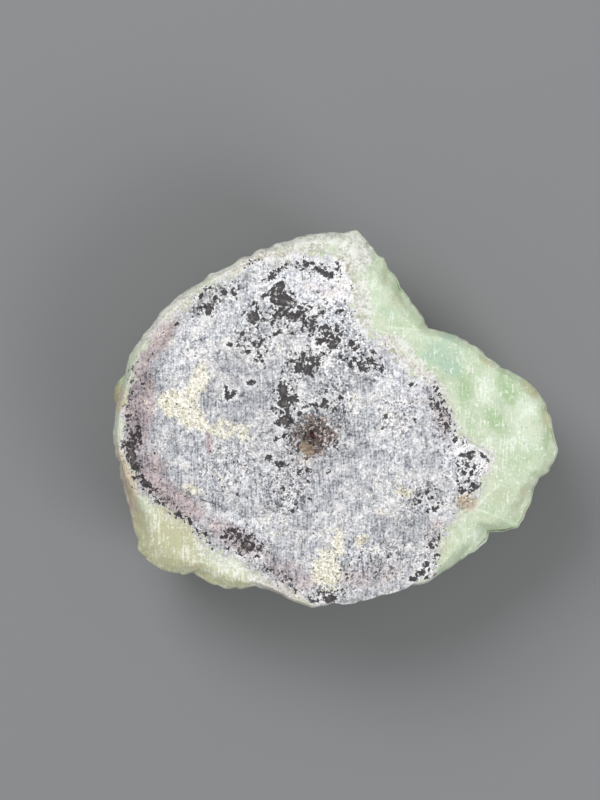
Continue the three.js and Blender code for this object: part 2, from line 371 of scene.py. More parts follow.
def small_lobes(large, count, radius):
    """Middle and radius of the small lobes, spread by the golden angle and sunk most of the way in.

    On the underside the sine of a lobe's angle below level is SPREAD_END less its place, and on the
    flank its height grows with its place. Those that would all lie straight below are left out.
    """
    index = np.arange(int(count * (SPREAD_END - 1) / SPREAD_END), count)
    angle = index * math.pi * (3 - math.sqrt(5)) % TURN
    size = radius * (1 + SMALL_SIZE_VARIES * hashed(index, 3, 0, 5))
    place = (index + 0.5) / count * SPREAD_END
    below = np.arcsin(np.clip(SPREAD_END - place, 0, 1))
    lift = np.maximum(0, place - 1) / (SPREAD_END - 1)
    on_flank = lift > 0
    start = WALL_FOOT + lift * (rim_heights(angle)[1] - SMALL_BELOW_RIM - WALL_FOOT)
    tilt = np.where(on_flank, 0, below * STRAIGHT_DOWN)
    direction = around(angle, np.cos(tilt), -np.sin(tilt))
    base = np.where(on_flank, wall_radius(angle, start), core_reach(angle, tilt))
    reach = grown_reach(start, direction, base, large, SEAT_ROUNDING)[0]
    limit = (silhouette(angle) - SMALL_CLEARANCE - size) / np.cos(tilt)
    reach = np.minimum(reach - np.where(on_flank, SUNK_FLANK, SUNK_UNDERSIDE) * size, limit)
    middle = direction * reach[:, None]
    middle[:, 2] += start
    return np.column_stack((middle, size))


def segment_distance(x, y, start, end):
    """Distance in plan to a straight line between two points."""
    along_x, along_y = end[0] - start[0], end[1] - start[1]
    from_x, from_y = x - start[0], y - start[1]
    share = np.clip((from_x * along_x + from_y * along_y) / (along_x ** 2 + along_y ** 2), 0, 1)
    return np.hypot(from_x - share * along_x, from_y - share * along_y)


def edge_distance(x, y, outline):
    """Distance in plan to a closed outline, positive inside it."""
    corners = np.array(outline, float)
    nearest = np.full(x.shape, 1e6)
    inside = np.zeros(x.shape, bool)
    for start, end in zip(corners, np.roll(corners, -1, 0)):
        nearest = np.minimum(nearest, segment_distance(x, y, start, end))
        (ax, ay), (bx, by) = start, end
        crosses = (ay > y) != (by > y)
        inside ^= crosses & (x < (bx - ax) * (y - ay) / (by - ay + 1e-9) + ax)
    return np.where(inside, nearest, -nearest)


def spot_share(x, y, spot):
    """How far out a point is in a turned ellipse: 0 in its middle, 1 on its edge."""
    middle_x, middle_y, half_width, half_height, turn = spot[:5]
    cosine = math.cos(math.radians(turn))
    sine = math.sin(math.radians(turn))
    along = (x - middle_x) * cosine + (y - middle_y) * sine
    across = (y - middle_y) * cosine - (x - middle_x) * sine
    return np.hypot(along / half_width, across / half_height)


def nearest_spot(x, y, spots):
    """Rough distance to the nearest spot's edge, negative inside, at most 3."""
    nearest = np.full(x.shape, 3.0)
    for spot in spots:
        nearest = np.minimum(nearest, (spot_share(x, y, spot) - 1) * min(spot[2], spot[3]))
    return nearest


def soft_spots(x, y, spots):
    """Strength of the strongest soft spot: whole out to 0.4 of its size, gone at 1.3."""
    strongest = np.zeros(x.shape)
    for spot in spots:
        strongest = np.maximum(strongest, spot[5] * (1 - smooth(0.4, 1.3, spot_share(x, y, spot))))
    return strongest


# Marks on the sawn rock: middle x and y, half width, half height and turn in degrees
BLACK_GRAINS = (
    (-16.4, 26.4, 0.7, 0.3, 15), (-13.4, 27, 1.2, 0.22, 25), (-16.9, 21.5, 0.9, 0.3, -60),
    (-10.6, 24.4, 0.8, 0.55, 35), (-8.9, 25.6, 1.5, 0.32, 40), (-4.1, 26.5, 1.2, 0.35, 20),
    (-1.9, 25, 1.9, 0.5, -30), (-0.9, 24.4, 1, 0.6, 20), (0.7, 26.2, 0.8, 0.22, -60),
    (2.4, 25.1, 0.35, 0.25, 0), (-9.6, 22.2, 1.7, 0.85, 50), (-10.2, 20.6, 0.7, 0.9, 0),
    (-8.2, 20, 1.9, 0.9, -10), (-9, 18.2, 2, 0.75, 40), (-7.2, 17.3, 0.9, 0.9, 0),
    (-5.6, 18.9, 0.6, 0.5, 0), (-5.4, 17.4, 0.6, 0.9, 0), (-4.1, 16.6, 0.8, 0.9, 0),
    (-3.9, 15.4, 0.5, 0.5, 0), (-2.1, 18.4, 0.5, 0.9, -20), (-13.8, 17.6, 1.2, 0.85, 10),
    (-13, 19.2, 0.45, 0.8, 0), (-11.6, 16.9, 0.9, 0.32, -15), (-1.6, 15.5, 0.9, 0.6, 0),
    (-1.2, 14.5, 0.6, 0.5, 0), (-0.2, 12.7, 0.8, 0.9, 0), (0.6, 13.6, 0.4, 0.5, 0),
    (3, 12.9, 0.45, 0.6, 0), (3.6, 12.1, 0.5, 0.35, 0), (-2.6, 13.2, 0.5, 0.5, 0),
    (-10, 14.5, 0.9, 0.32, 20), (-14.8, 13.7, 0.5, 0.4, 0), (-13.3, 12.7, 0.8, 0.5, -35),
    (-14.8, 11.5, 0.6, 0.4, 0), (-12.4, 10.3, 1, 0.24, -65), (-5.3, 11.1, 0.4, 0.8, 10),
    (-6, 9, 0.6, 1.25, 5), (-4.6, 8.5, 0.85, 0.8, 0), (-3.1, 9.8, 0.95, 0.5, 25),
    (-2.3, 11.1, 0.9, 0.28, 20), (4.7, 9, 1.25, 0.6, -40), (3.5, 10.1, 0.5, 0.5, 0),
    (6.4, 9.9, 0.5, 0.4, 0), (6.6, 11.4, 0.4, 0.4, 0), (-21.4, 18.8, 0.7, 1.3, -12),
    (-20.2, 20.3, 0.4, 0.6, 0), (-25, 20, 1.3, 0.22, 38), (-22.5, 22.3, 1.1, 0.2, 40),
    (-17.8, 3.9, 0.7, 0.6, 0), (-18.3, 4.7, 0.3, 0.6, 10), (-17, 4.6, 0.5, 0.3, 40),
    (-14.3, 6.2, 0.7, 0.5, 20), (-17.9, 12.8, 0.6, 0.6, 0), (-8.7, 5.1, 0.8, 1.4, 2),
    (-8.5, 2.7, 1, 0.8, 0), (-6.9, 3.6, 0.7, 0.45, 20), (-4.3, 2.4, 0.9, 0.28, 25),
    (-3.1, 2.5, 0.8, 0.42, -20), (-1.4, 2.6, 0.55, 1, 15), (-8.4, -0.4, 1.45, 1.05, 12),
    (-0.6, -2.5, 0.8, 0.5, 0), (0.2, -4, 0.35, 0.5, -20), (-9.6, -3.2, 0.5, 0.5, 0),
    (-5.9, -4.6, 0.5, 0.6, 0), (-9, -7.6, 1, 0.35, 0), (-11, -6.6, 0.5, 0.6, 0),
    (-6.2, -9.3, 0.5, 0.4, 0), (-0.9, -9, 0.4, 0.4, 0), (-34.4, -6.4, 0.9, 2.9, 13),
    (-33.2, -2.2, 0.5, 1.8, 6), (-36, -4.2, 0.4, 1, 0), (-35, 4, 0.3, 1.7, -10),
    (-32.2, -10.6, 0.6, 1.4, 40), (-34.7, 7.4, 0.25, 1.3, -24), (-29.8, -14, 0.9, 0.4, -35),
    (-26.4, -16.4, 0.8, 0.3, -30), (-24.6, -19.4, 0.5, 0.5, 0), (-14.7, -21.5, 1.2, 1, -20),
    (-17.4, -19.1, 1.1, 0.35, -12), (-14.2, -19.7, 0.7, 0.4, -20), (-12.8, -21.8, 0.5, 0.5, 0),
    (-16.2, -22.8, 0.6, 0.35, -30), (-19, -20.1, 0.5, 0.25, 10), (-13.2, -23.2, 0.4, 0.3, 0),
    (21.7, -6, 0.62, 0.45, 0), (23.3, -6, 0.8, 0.62, 30), (25.6, -6.4, 0.95, 0.36, -52),
    (22.6, -7.7, 0.6, 0.5, 0), (22, -9.1, 0.5, 0.3, 0), (23.4, -9.2, 0.3, 0.6, 0),
    (24.4, -11.3, 1.15, 0.42, 27), (21.7, -10.8, 0.55, 0.22, 15), (22, -12.2, 0.5, 0.42, 0),
    (23.1, -12.6, 0.4, 0.2, -30), (20.6, -3.4, 0.4, 0.4, 0), (17, -20.6, 0.9, 0.22, 25),
    (17.6, -21.4, 0.8, 0.18, 20), (14.7, -26, 0.8, 0.45, 10), (17.5, 5.2, 0.3, 0.5, -30),
    (18.8, -0.9, 0.45, 0.3, 0), (19.4, -1.8, 0.3, 0.5, 0), (13.3, 6, 0.5, 0.4, 0),
    (17.6, 2.4, 0.4, 0.9, 0), (17, -15.2, 0.8, 0.5, 20), (16.1, -13.2, 0.5, 0.4, 0),
    (14.4, -13.9, 0.6, 0.35, 20), (-0.8, -30.4, 1.1, 0.7, 8), (13.2, -27.2, 0.8, 0.4, 10),
    (15.6, -24.7, 0.6, 0.45, 0), (17.1, -23.5, 0.25, 0.3, 0), (17.9, -20.7, 0.3, 0.7, -10),
    (3, 22.5, 0.4, 0.35, 0),
)

# The same with a strength: where the black specks crowd, where the rock is whiter, and so on
SPECK_CROWDS = (
    (-9, 19, 3.4, 5, 20, 1), (-4.5, 17, 4.4, 3, -20, 1), (-1, 14.5, 4.4, 3.4, -35, 1),
    (3, 11.5, 3.8, 3.2, -40, 1), (6.2, 8.8, 2.8, 2.6, 0, 0.9), (-3, 25.6, 5.6, 1.3, -12, 0.9),
    (-10, 25, 3.5, 1.2, 40, 0.8), (-14, 13.2, 4.2, 3, -30, 0.9), (-4.5, 9.5, 4.4, 3.2, 10, 1),
    (-8.2, 3, 2.8, 6, 0, 0.95), (-13.8, 17.8, 2.6, 2.6, 0, 0.75), (1, 18.5, 4, 2.4, -20, 0.6),
    (-16.8, 21.8, 2.2, 3, 0, 0.5), (-15, 26.2, 4, 1, 20, 0.5), (-21, 20.5, 5, 2.6, 38, 0.8),
    (-4, -1.8, 6.2, 5.6, 0, 0.95), (-8, -11, 5, 6, 0, 0.6), (22.8, -8.8, 2.8, 5, -10, 0.7),
    (15.5, -13.5, 4, 3, 0, 0.6), (-15.5, -20.8, 5.5, 2.8, -18, 0.7), (16.5, -23, 2.6, 5.5, -20, 0.7),
    (-34.2, -5.5, 2, 8, 8, 0.8), (-34.9, 4.5, 1.2, 6.5, -10, 0.6), (-30, -13.2, 5, 1.6, -35, 0.7),
    (-26.5, -16.2, 5, 1, -34, 0.85), (-22.5, -19.8, 3.6, 1.2, -42, 0.8), (18.4, 1, 2, 6.5, 16, 0.75),
    (-17.5, 4, 2.2, 2, 0, 0.6), (3, -24.5, 4.5, 4, 0, 0.45), (-1.5, -30, 4, 1.6, 8, 0.85),
    (0, 3, 4, 6, 0, 0.65), (-9, -27, 6, 1.2, -32, 0.65), (8, -24, 8, 4, 10, 0.35),
    (11, 1, 5, 4, 0, 0.35), (-18, -9, 6, 5, 0, 0.3), (20.8, -3, 1.4, 2.6, 30, 0.9),
)
WHITE_PATCHES = (
    (-1.5, 21, 8.5, 7, 0, 1), (-9, 24, 7, 3.5, 20, 0.85), (0.5, 14, 7, 7, 0, 0.7),
    (11.5, 6.5, 5, 5, 0, 0.7), (20.6, -7, 2.8, 5, 0, 0.8), (22, -4.6, 2.2, 1.2, -15, 1),
    (25, -7.8, 1.2, 2.6, 0, 1), (-16, -18.5, 6, 2.6, -20, 0.5), (9, -3, 8, 9, 0, 0.3),
    (-23, -3.5, 4, 6, 0, 0.3), (13, -13, 5, 4, 0, 0.35), (3, -19, 7, 6, 0, 0.2),
    (-23, 13, 4.5, 4.5, 0, 0.6), (-26.5, 8.5, 3, 3, 0, 0.55), (-24.5, -15.5, 5, 1.8, -34, 0.4),
    (-18, 17, 6, 4, 30, 0.4), (-14, -23.4, 3.4, 1.2, -18, 0.8), (18.4, -16.2, 1.6, 1, -20, 0.7),
)
PURPLE_PATCHES = (
    (-33.2, 2, 2.8, 10, -4, 1.2), (-31.5, -9, 3.6, 5, 30, 0.9), (-26.5, -13.9, 6.5, 2.6, -36, 0.9),
    (-17, -20, 7, 2.6, -28, 0.75), (-8, -26, 6.5, 2.5, -30, 0.6), (-30.4, 13, 2.2, 6.5, -40, 0.9),
    (-21.3, -4, 0.75, 2.4, 2, 1), (5.5, -26.5, 8, 2.5, 8, 0.45), (-4, -6, 5.5, 5.5, 0, 0.25),
    (18.4, 0, 1.6, 6, 16, 0.5), (14.5, 4.5, 4.5, 2.5, 0, 0.25), (17, -19.5, 2, 4.5, -14, 0.4),
    (-2, 22.4, 4, 1.8, 0, 0.3),
)
DARK_PATCHES = (
    (11.5, -19.5, 5.5, 5, 30, 0.25), (2, -3.5, 4.5, 4, 0, 0.35), (-27.5, 7.5, 2.4, 2, 0, 0.1),
    (15, -13.5, 3.5, 3, 0, 0.4), (-5, -10.5, 3, 5, 0, 0.1), (-13, -24, 5, 2.5, -28, 0.3),
    # The patch at (-33, 4) along the worn left edge is painted shade of that slope.
    (-4, -3, 4.5, 4.5, 0, 0.5), (-33, 4, 2.2, 7, -4, 0.25), (-20.5, 11, 6, 5, 0, 0.1),
)
CREAM_PATCHES = (
    (-27.2, 2.4, 3.6, 2.4, -38, 1), (-23.2, 6, 1.7, 4.4, -14, 1), (-24.5, 1, 2.7, 2.6, 0, 1.1),
    (-18.5, -1.6, 3.6, 2.1, 8, 0.8), (-22.4, -1, 1.4, 1.8, 0, 0.75), (-15.2, -2.6, 1.4, 2, 0, 0.75),
    (-1, -25.2, 2.6, 3.8, 12, 0.95), (0.8, -21.4, 1.3, 3, 0, 0.75), (-1.2, -28.2, 2.2, 1.5, 0, 0.7),
    (4.6, -20.4, 1.9, 1.2, 30, 0.75), (12, -12.4, 1.9, 1.1, -10, 0.6), (-24.4, -12, 2, 1.2, 0, 0.65),
)
# Weathered tan stains. The patch at (-35.9, -11) on the left edge is a painted warm reflection, and the
# one at (-37.6, 4) is partly painted shade.
TAN_PATCHES = (
    (22.6, -14, 2.2, 2, 20, 0.9), (-7.5, -30.2, 5, 1.6, -28, 0.5), (-35.9, -11, 2.4, 8, 12, 1),
    (12.5, -12.4, 2, 1.2, 0, 0.4), (-24.5, -12, 2, 1.6, 0, 0.4), (-31, 6.5, 1, 2.5, 0, 0.35),
    (-24.2, -25, 1.4, 0.8, 0, 0.4), (5.6, -20.6, 1.4, 0.7, 25, 0.4), (-37.6, 4, 1.8, 3.4, 0, 1.1),
)

# Zones of the prehnite, seen from above
TEAL_ZONES = (
    (18.6, 11, 4.4, 3.4, -30, 0.75), (19.3, 13.9, 1.7, 1.2, -20, 0.9), (15.9, 10.8, 1, 1.1, 0, 0.9),
    (20, 9, 2.2, 1.8, -30, 1), (9.2, 18.3, 2.4, 1.2, -20, 0.55), (34.3, -3.5, 2.4, 3, 0, 0.4),
    (29, 2.6, 2.4, 1.6, 0, 0.5),
)
FRESH_ZONES = (
    (22.3, 4.4, 1.7, 4.4, 0, 1), (29.4, 5.4, 1.5, 4, 18, 1.4), (27.6, -0.4, 1.7, 3.6, 38, 1.2),
    (23.5, -1.5, 1.8, 3.6, 0, 0.7), (25, 8.6, 2.5, 1, -40, 0.6), (30.5, -8.5, 4.5, 2.5, 0, 0.4),
    (36, -3, 1, 4, 0, 0.7), (-34.4, -17.8, 0.7, 3.4, 8, 0.8),
)
STRAW_ZONES = (
    (33.4, 5, 2.7, 1.2, -42, 0.8), (36.2, -0.5, 0.9, 4, 10, 0.7), (25.8, 9.8, 1.9, 0.8, -38, 0.7),
    (19.6, 0.4, 0.9, 3.5, 20, 0.6), (8.4, 24.6, 2.9, 1.3, -59, 0.45), (10.9, 20.3, 2.4, 1.3, -50, 0.45),
    (29.5, -13.8, 4.6, 3, -20, 0.45), (32.2, -12.3, 1, 1.7, -30, 0.6), (26.5, -17.2, 3, 1.4, -20, 0.4),
    (18.5, -22.5, 3, 2, 35, 0.5), (-28.6, -20.5, 7.5, 7, -20, 1.55), (-20, -26.4, 8, 3.4, -14, 1),
    # The zone at (-36.2, 3.4) on the left edge is partly painted shade.
    (-20.6, -26.3, 1.1, 1.6, 30, 0.9), (-16.5, -28.4, 4.2, 0.7, 0, 1), (-36.2, 3.4, 1.6, 3.4, 0, 1),
)
CLOUD_ZONES = (
    (26, 5.4, 2.3, 3.6, 10, 1), (32.6, 1.2, 2.6, 3.6, -20, 1), (33, -3, 3, 3, 30, 0.75),
    (29.6, -3.8, 2.4, 2, 0, 0.6), (27, -6, 3.4, 3.4, 0, 0.7), (22.5, 9.4, 3, 0.9, -30, 0.5),
    (24.3, -20.4, 2.2, 1.8, 0, 0.9), (5.2, 22, 4.2, 9.5, 8, 0.6), (12.5, 14.6, 4.8, 1, -18, 0.6),
    (8, 17, 3.4, 3, 0, 0.4), (18.2, 12.2, 2.2, 1.6, -30, 0.3), (-30.6, -17.9, 1, 5, 0, 0.35),
    (-31.6, -15, 1.6, 1, -30, 0.6), (-18, -24.8, 4.2, 2.4, -12, 0.95), (28.3, -14.2, 1.8, 1.2, 0, 0.35),
    (20.6, -1.6, 1.5, 2.6, 0, 0.8),
)
# Rough greyish or creamy white crust that the saw or the weather scuffed
SCUFF_ZONES = (
    (-9, 28.6, 17, 2.6, 18, 1), (-28, 18, 9, 2.4, 42, 0.9), (3.4, 28, 4, 4.5, 0, 0.95),
    (-36.9, -2, 0.8, 8, 2, 0.4), (4.9, 19.5, 1.8, 6.5, 6, 0.8), (-20, -24, 4, 1.2, -30, 0.5),
    (-10, -28.5, 6, 1.8, -22, 1), (20.5, -16.5, 2, 2.5, 0, 0.4), (14.4, 8.8, 3.6, 1.4, -50, 1),
    (11.2, 12.2, 3.8, 2, -42, 0.95), (3.2, 29.6, 1.8, 1.1, 0, 1), (18.6, 3, 1.3, 5, 14, 0.75),
    (21.7, -4.4, 2.4, 1.5, -20, 0.95), (25.4, -8, 1.2, 2.6, 0, 0.9), (-22.4, -21.8, 1.2, 2.8, 0, 0.6),
)
# Where the saw left dense white streaks
STREAK_ZONES = (
    (-30.6, -19, 2, 7, 4, 0.65), (-24, -22.5, 3, 4, 0, 0.5), (-16.5, -26.4, 5, 2, -10, 0.8),
    (22.5, -3, 3.5, 8, 0, 0.5), (28, -5, 4.5, 5, 0, 0.45), (26, 5.5, 2.5, 3, 0, 0.4),
)
SOFT_ZONES = {
    "crowd": SPECK_CROWDS,
    "white": WHITE_PATCHES,
    "purple": PURPLE_PATCHES,
    "dark": DARK_PATCHES,
    "tan": TAN_PATCHES,
    "cream": CREAM_PATCHES,
    "streak": STREAK_ZONES,
    "teal": TEAL_ZONES,
    "fresh": FRESH_ZONES,
    "straw": STRAW_ZONES,
    "cloud": CLOUD_ZONES,
    "scuff": SCUFF_ZONES,
}
# In the middle pit: a dark red grain, a tan crystal at its edge, and the brown crust round both, with
# paler faces painted as lit and painted highlights on it
DARK_RED = (-3.75, -2.7, 0.36, 0.66, 10)
TAN_CRYSTAL = (-4.6, -5.0, 1.45, 1.2, -35)
PIT_CRUST = (-3.0, -2.7, 3.1, 2.9, 0)

# Low relief of the face: the pits, and lines with a width and a depth
PITS = (
    (-3.7, -3.2, 2.3, 2.7, 20, 1.7), (-7.4, -0.8, 1, 1.1, 0, 0.5), (-3.9, -5.4, 1, 0.9, 0, 0.25),
)
CRACKS = (
    ((-22.8, -13.5), (-21.6, -14.0), (-19.9, -14.4), (-18.7, -15.4), 0.3, 0.35),
    ((-32.2, 0.4), (-30.5, -1.8), (-28.3, -4.9), 0.22, 0.12),
    ((-31.3, -4.3), (-27.6, -7.7), (-25.4, -10.3), 0.25, 0.12),
)
# Bright lines where the fractured prehnite's flats meet
VEINS = (
    ((28.2, -11.1), (26.0, -12.9), (23.8, -15.2), 0.45, 0.9),
    ((23.8, -15.2), (26.4, -15.9), (28.7, -17.3), 0.4, 1.0),
    ((28.7, -17.3), (29.6, -15.4), 0.35, 0.6),
    ((23.8, -15.2), (22.7, -16.1), (20.4, -17.3), (22.2, -18.7), (22.5, -21.6), 0.4, 0.7),
    ((28.2, -11.1), (31.4, -10.4), (34.6, -10.9), 0.35, 0.5),
    ((12.2, 12.9), (8.6, 15.8), (14.5, 15.2), 0.5, 0.6),
)
# Flats of that fracture: a point on the upper edge, the direction in which it falls, and how steeply
FLATS = (
    (28.2, -11.1, -75, 0.16), (26, -16.2, -112, 0.3), (32.8, -12.4, -24, 0.38), (22.2, -19, -62, 0.34),
    (-30, -25, -110, 0.5), (-24, -24.6, -60, 0.35), (9, 23.6, 32, 0.4), (33, 3.6, 48, 0.35),
)
FLAT_ZONES = (
    (28, -16, 10, 6, -20, 1), (-27, -24, 8, 4, -10, 1), (10, 22, 5, 8, 30, 1), (34, 2, 4, 7, 20, 1),
)


def crack_depth(x, y, cracks):
    """Depth of the cracks at each point: a V of the given width along each broken line."""
    depth = np.zeros(x.shape)
    for *corners, width, deep in cracks:
        for start, end in zip(corners, corners[1:]):
            depth = np.maximum(depth, deep * (1 - smooth(0, width, segment_distance(x, y, start, end))))
    return depth


def flat_depth(x, y):
    """Depth of the fracture's flats: the deepest of several planes, each falling from its own edge."""
    depth = np.zeros(x.shape)
    for edge_x, edge_y, direction, steepness in FLATS:
        near = 1 - smooth(5, 9, np.hypot(x - edge_x, y - edge_y))
        way = math.radians(direction)
        beyond = (x - edge_x) * math.cos(way) + (y - edge_y) * math.sin(way)
        depth = np.maximum(depth, near * steepness * np.maximum(beyond, 0))
    return depth * soft_spots(x, y, FLAT_ZONES)


def face_relief(x, y):
    """Low relief that the saw left on rock and prehnite alike, always at or below the saw's plane."""
    flat = np.stack((x, y, 0 * x), -1)
    wave = FACE_WAVE * (fractal(flat, 9.0, 3, 11) + 1.6)
    saw = SAW_MARK * (value_noise(flat * (2.6, 0.16, 1), 23) + 1)
    fine = FACE_GRAIN * (fractal(flat, 0.7, 2, 31) + 1.3)
    return -(wave + saw + fine) - crack_depth(x, y, CRACKS)


def rock_relief(x, y):
    """The face's relief with the pits, plucked grains and crumbly cream patches of the rock."""
    flat = np.stack((x, y, 0 * x), -1)
    ragged = 0.16 * fractal(flat, 1.1, 3, 41)
    height = face_relief(x, y)
    for pit in PITS:
        share = spot_share(x, y, pit) + ragged
        height -= pit[5] * (1 - smooth(0.25, 1.05, share)) * (1 + 0.22 * ridges(flat, 0.9, 43))
    grain = nearest_spot(x, y, BLACK_GRAINS) + 0.6 * ragged
    height -= GRAIN_PLUCKED * (1 - smooth(-0.25, 0.1, grain))
    cream = nearest_spot(x, y, CREAM_PATCHES) + 1.5 * ragged
    height -= (1 - smooth(-0.5, 0.2, cream)) * (CREAM_PLUCKED + 0.07 * ridges(flat, 0.45, 47))
    return height


def grid_mesh(name, rows, attributes):
    """A closed surface from a grid that runs round the axis, with a single point at both ends.

    rows has a place for each row and column. attributes holds one number for each of them.
    """
    count, columns, _ = rows.shape
    poles = np.stack((rows[0].mean(0), rows[-1].mean(0)))
    places = np.concatenate((rows.reshape(-1, 3), poles)) / METRE
    corner = np.arange(count * columns).reshape(count, columns)
    beside = np.roll(corner, -1, 1)
    quads = np.stack((corner[:-1], beside[:-1], beside[1:], corner[1:]), -1).reshape(-1, 4)
    first = np.stack((np.full(columns, count * columns), beside[0], corner[0]), -1)
    last = np.stack((np.full(columns, count * columns + 1), corner[-1], beside[-1]), -1)
    corners = np.concatenate((quads.ravel(), first.ravel(), last.ravel()))
    sizes = np.concatenate((np.full(len(quads), 4), np.full(2 * columns, 3)))
    mesh = bpy.data.meshes.new(name)
    mesh.vertices.add(len(places))
    mesh.vertices.foreach_set("co", places.astype(np.float32).ravel())
    mesh.loops.add(len(corners))
    mesh.loops.foreach_set("vertex_index", corners.astype(np.int32))
    mesh.polygons.add(len(sizes))
    mesh.polygons.foreach_set("loop_start", (np.cumsum(sizes) - sizes).astype(np.int32))
    mesh.polygons.foreach_set("use_smooth", np.ones(len(sizes), bool))
    mesh.update(calc_edges=True)
    for label, values in attributes.items():
        ends = (values[0].mean(), values[-1].mean())
        layer = mesh.attributes.new(label, "FLOAT", "POINT")
        layer.data.foreach_set("value", np.concatenate((values.ravel(), ends)).astype(np.float32))
    mesh.set_sharp_from_angle(angle=math.radians(SHARP_ANGLE))
    if mesh.validate():
        raise RuntimeError(f"{name}: the surface has faults")
    piece = bpy.data.objects.new(name, mesh)
    bpy.context.scene.collection.objects.link(piece)
    return piece


def column_angles():
    return np.arange(COLUMNS) * TURN / COLUMNS


def ragged_silhouette(angle, height):
    """The silhouette with the small chips of a broken edge."""
    radius = silhouette(angle)
    ring = around(angle, radius, height)
    chips = RIM_CHIPS * fractal(ring, 2.6, 4, 61)
    notches = RIM_NOTCHES * (1 - smooth(0.05, 0.4, np.abs(value_noise(ring / 3.1, 67))))
    return radius + RIM_OVERHANG + chips - notches


def margin_edges(angle):
    """Outer and inner edge of the crust's upper side: radius and height of each."""
    bare = bare_share(angle)
    rock_top, rim_top = rim_heights(angle)
    foot = bare_foot(angle)
    outer_radius = mix(ragged_silhouette(angle, rim_top), wall_radius(angle, foot) - 0.1, bare)
    outer_height = mix(rim_top, foot, bare)
    hidden = np.minimum(rock_reach(angle), silhouette(angle) - RIM_LIP)
    inner_radius = mix(hidden, wall_radius(angle, foot) - 0.6, bare)
    inner_height = mix(rock_top, foot - 0.2, bare)
    return outer_radius, outer_height, np.minimum(inner_radius, outer_radius - 0.1), inner_height


def crust_surface(look):
    """Rows of the crust from under its middle, up its flank, in over its margin and down its socket.

    The underside is the farthest lobe along rays from the axis at WALL_FOOT, and the flank the same
    along level rays. The margin runs straight from the rim to the rock, and the socket follows the rock.
    With the rows come four numbers for each place: how far it is sawn, how far it slopes, how deep it
    lies in a crease, and its lobe's own tint.
    """
    angle = column_angles()[None, :]
    large = large_lobes()
    small = small_lobes(large, look.small_lobe_count, look.small_lobe_radius * METRE)
    lobes = np.concatenate((large, small))
    blend = look.crease_rounding * METRE
    outer_radius, outer_height, inner_radius, inner_height = margin_edges(angle)
    on_face = 1 - bare_share(angle)
    edge = silhouette(angle) - LOBE_CLEARANCE

    tilt = np.linspace(np.pi / 2, 0, UNDERSIDE_ROWS, endpoint=False)[1:, None]
    level = np.cos(tilt)
    direction = around(angle, level, -np.sin(tilt))
    reach, crease, tint = grown_reach(WALL_FOOT, direction, core_reach(angle, tilt), lobes, blend)
    side = far_side(WALL_FOOT, direction, SIDE_LOBE)
    reach = np.minimum(reach, np.maximum(edge / np.maximum(level, 0.05), side))
    under = direction * reach[..., None]
    under[..., 2] += WALL_FOOT
    under += direction * crust_grain(under)[..., None]
    under[..., 2] = np.maximum(under[..., 2], 0)

    rise = np.linspace(0, 1, WALL_ROWS, endpoint=False)[:, None] ** 0.9
    height = WALL_FOOT + rise * (outer_height - WALL_FOOT)
    sideways = around(angle, 1, 0 * height)
    base = wall_radius(angle, height)
    reach, wall_crease, wall_tint = grown_reach(height, sideways, base, lobes, blend)
    limit = np.maximum(edge, far_side(height, sideways, SIDE_LOBE))
    wall = sideways * np.minimum(reach, limit)[..., None]
    wall[..., 2] = height
    fade = (1 - smooth(0.85, 1, rise))[..., None]
    wall += sideways * (crust_grain(wall) + wall_breaks(wall))[..., None] * fade
    top_ring = wall_radius(angle, outer_height) - outer_radius
    wall -= sideways * (top_ring * smooth(0.6, 1, rise))[..., None]

    across = np.linspace(0, 1, MARGIN_ROWS)[:, None] ** 1.35
    radius = mix(outer_radius, inner_radius, across)
    fall = (1 - smooth(0, 1, across / rim_slope(angle)[0] * 0.5 + 0.5)) * 2
    margin = around(angle, radius, mix(inner_height, outer_height, fall))
    x, y, _ = np.moveaxis(margin, -1, 0)
    relief = face_relief(x, y) - flat_depth(x, y) * (1 - smooth(0.7, 1, across))
    margin[..., 2] += on_face * (relief + margin_breaks(margin, fall))

    depth = np.linspace(0, 1, SOCKET_ROWS + 1)[1:, None]
    socket_top = inner_height + on_face * (margin[-1:, :, 2] - inner_height)
    socket_height = mix(socket_top, FACE_HEIGHT - PLUG_DEPTH, depth)
    socket_radius = np.minimum(plug_radius(angle, socket_height), inner_radius)
    socket = around(angle, socket_radius, socket_height)

    none = 0 * margin[..., 0]
    end = 0 * socket[..., 0]
    near_rim = SAWN_BAND_STRENGTH * smooth(-SAWN_BAND, 0.0, height - outer_height)
    sawn_margin = on_face * (1 - 0.5 * smooth(0.8, 1, fall)) + none
    return (
        np.concatenate((under, wall, margin, socket)),
        np.concatenate((0 * crease, near_rim * on_face, sawn_margin, end)),
        np.concatenate((1 + 0 * crease, 1 + 0 * near_rim, fall + none, end)),
        np.concatenate((crease, wall_crease, none, end)),
        np.concatenate((tint, wall_tint, none, end)),
    )


def crust_grain(points):
    """Sugary surface of the lobes: fine crystals that stand out or in by a tenth of a millimetre."""
    return SKIN_WAVE * fractal(points, 1.7, 3, 71) + SKIN_CRYSTALS * (ridges(points, 0.8, 73) - 0.6)


def wall_breaks(points):
    """Broken flank between the lobes: blocky steps that only cut inwards."""
    steps = fractal(points * (1, 1, 0.6), 4.2, 2, 81)
    return -FLANK_STEPS * smooth(-0.2, 0.7, steps) - FLANK_RIDGES * ridges(points * (1, 1, 0.45), 2.2, 83)


def margin_breaks(points, fall):
    """Shell-like scallops where the margin slopes."""
    scallops = MARGIN_SCALLOPS * smooth(0.35, 1.0, ridges(points * (1, 1, 0), 3.4, 91))
    return -fall * (scallops + MARGIN_GRAIN * (fractal(points, 1.2, 2, 93) + 1))


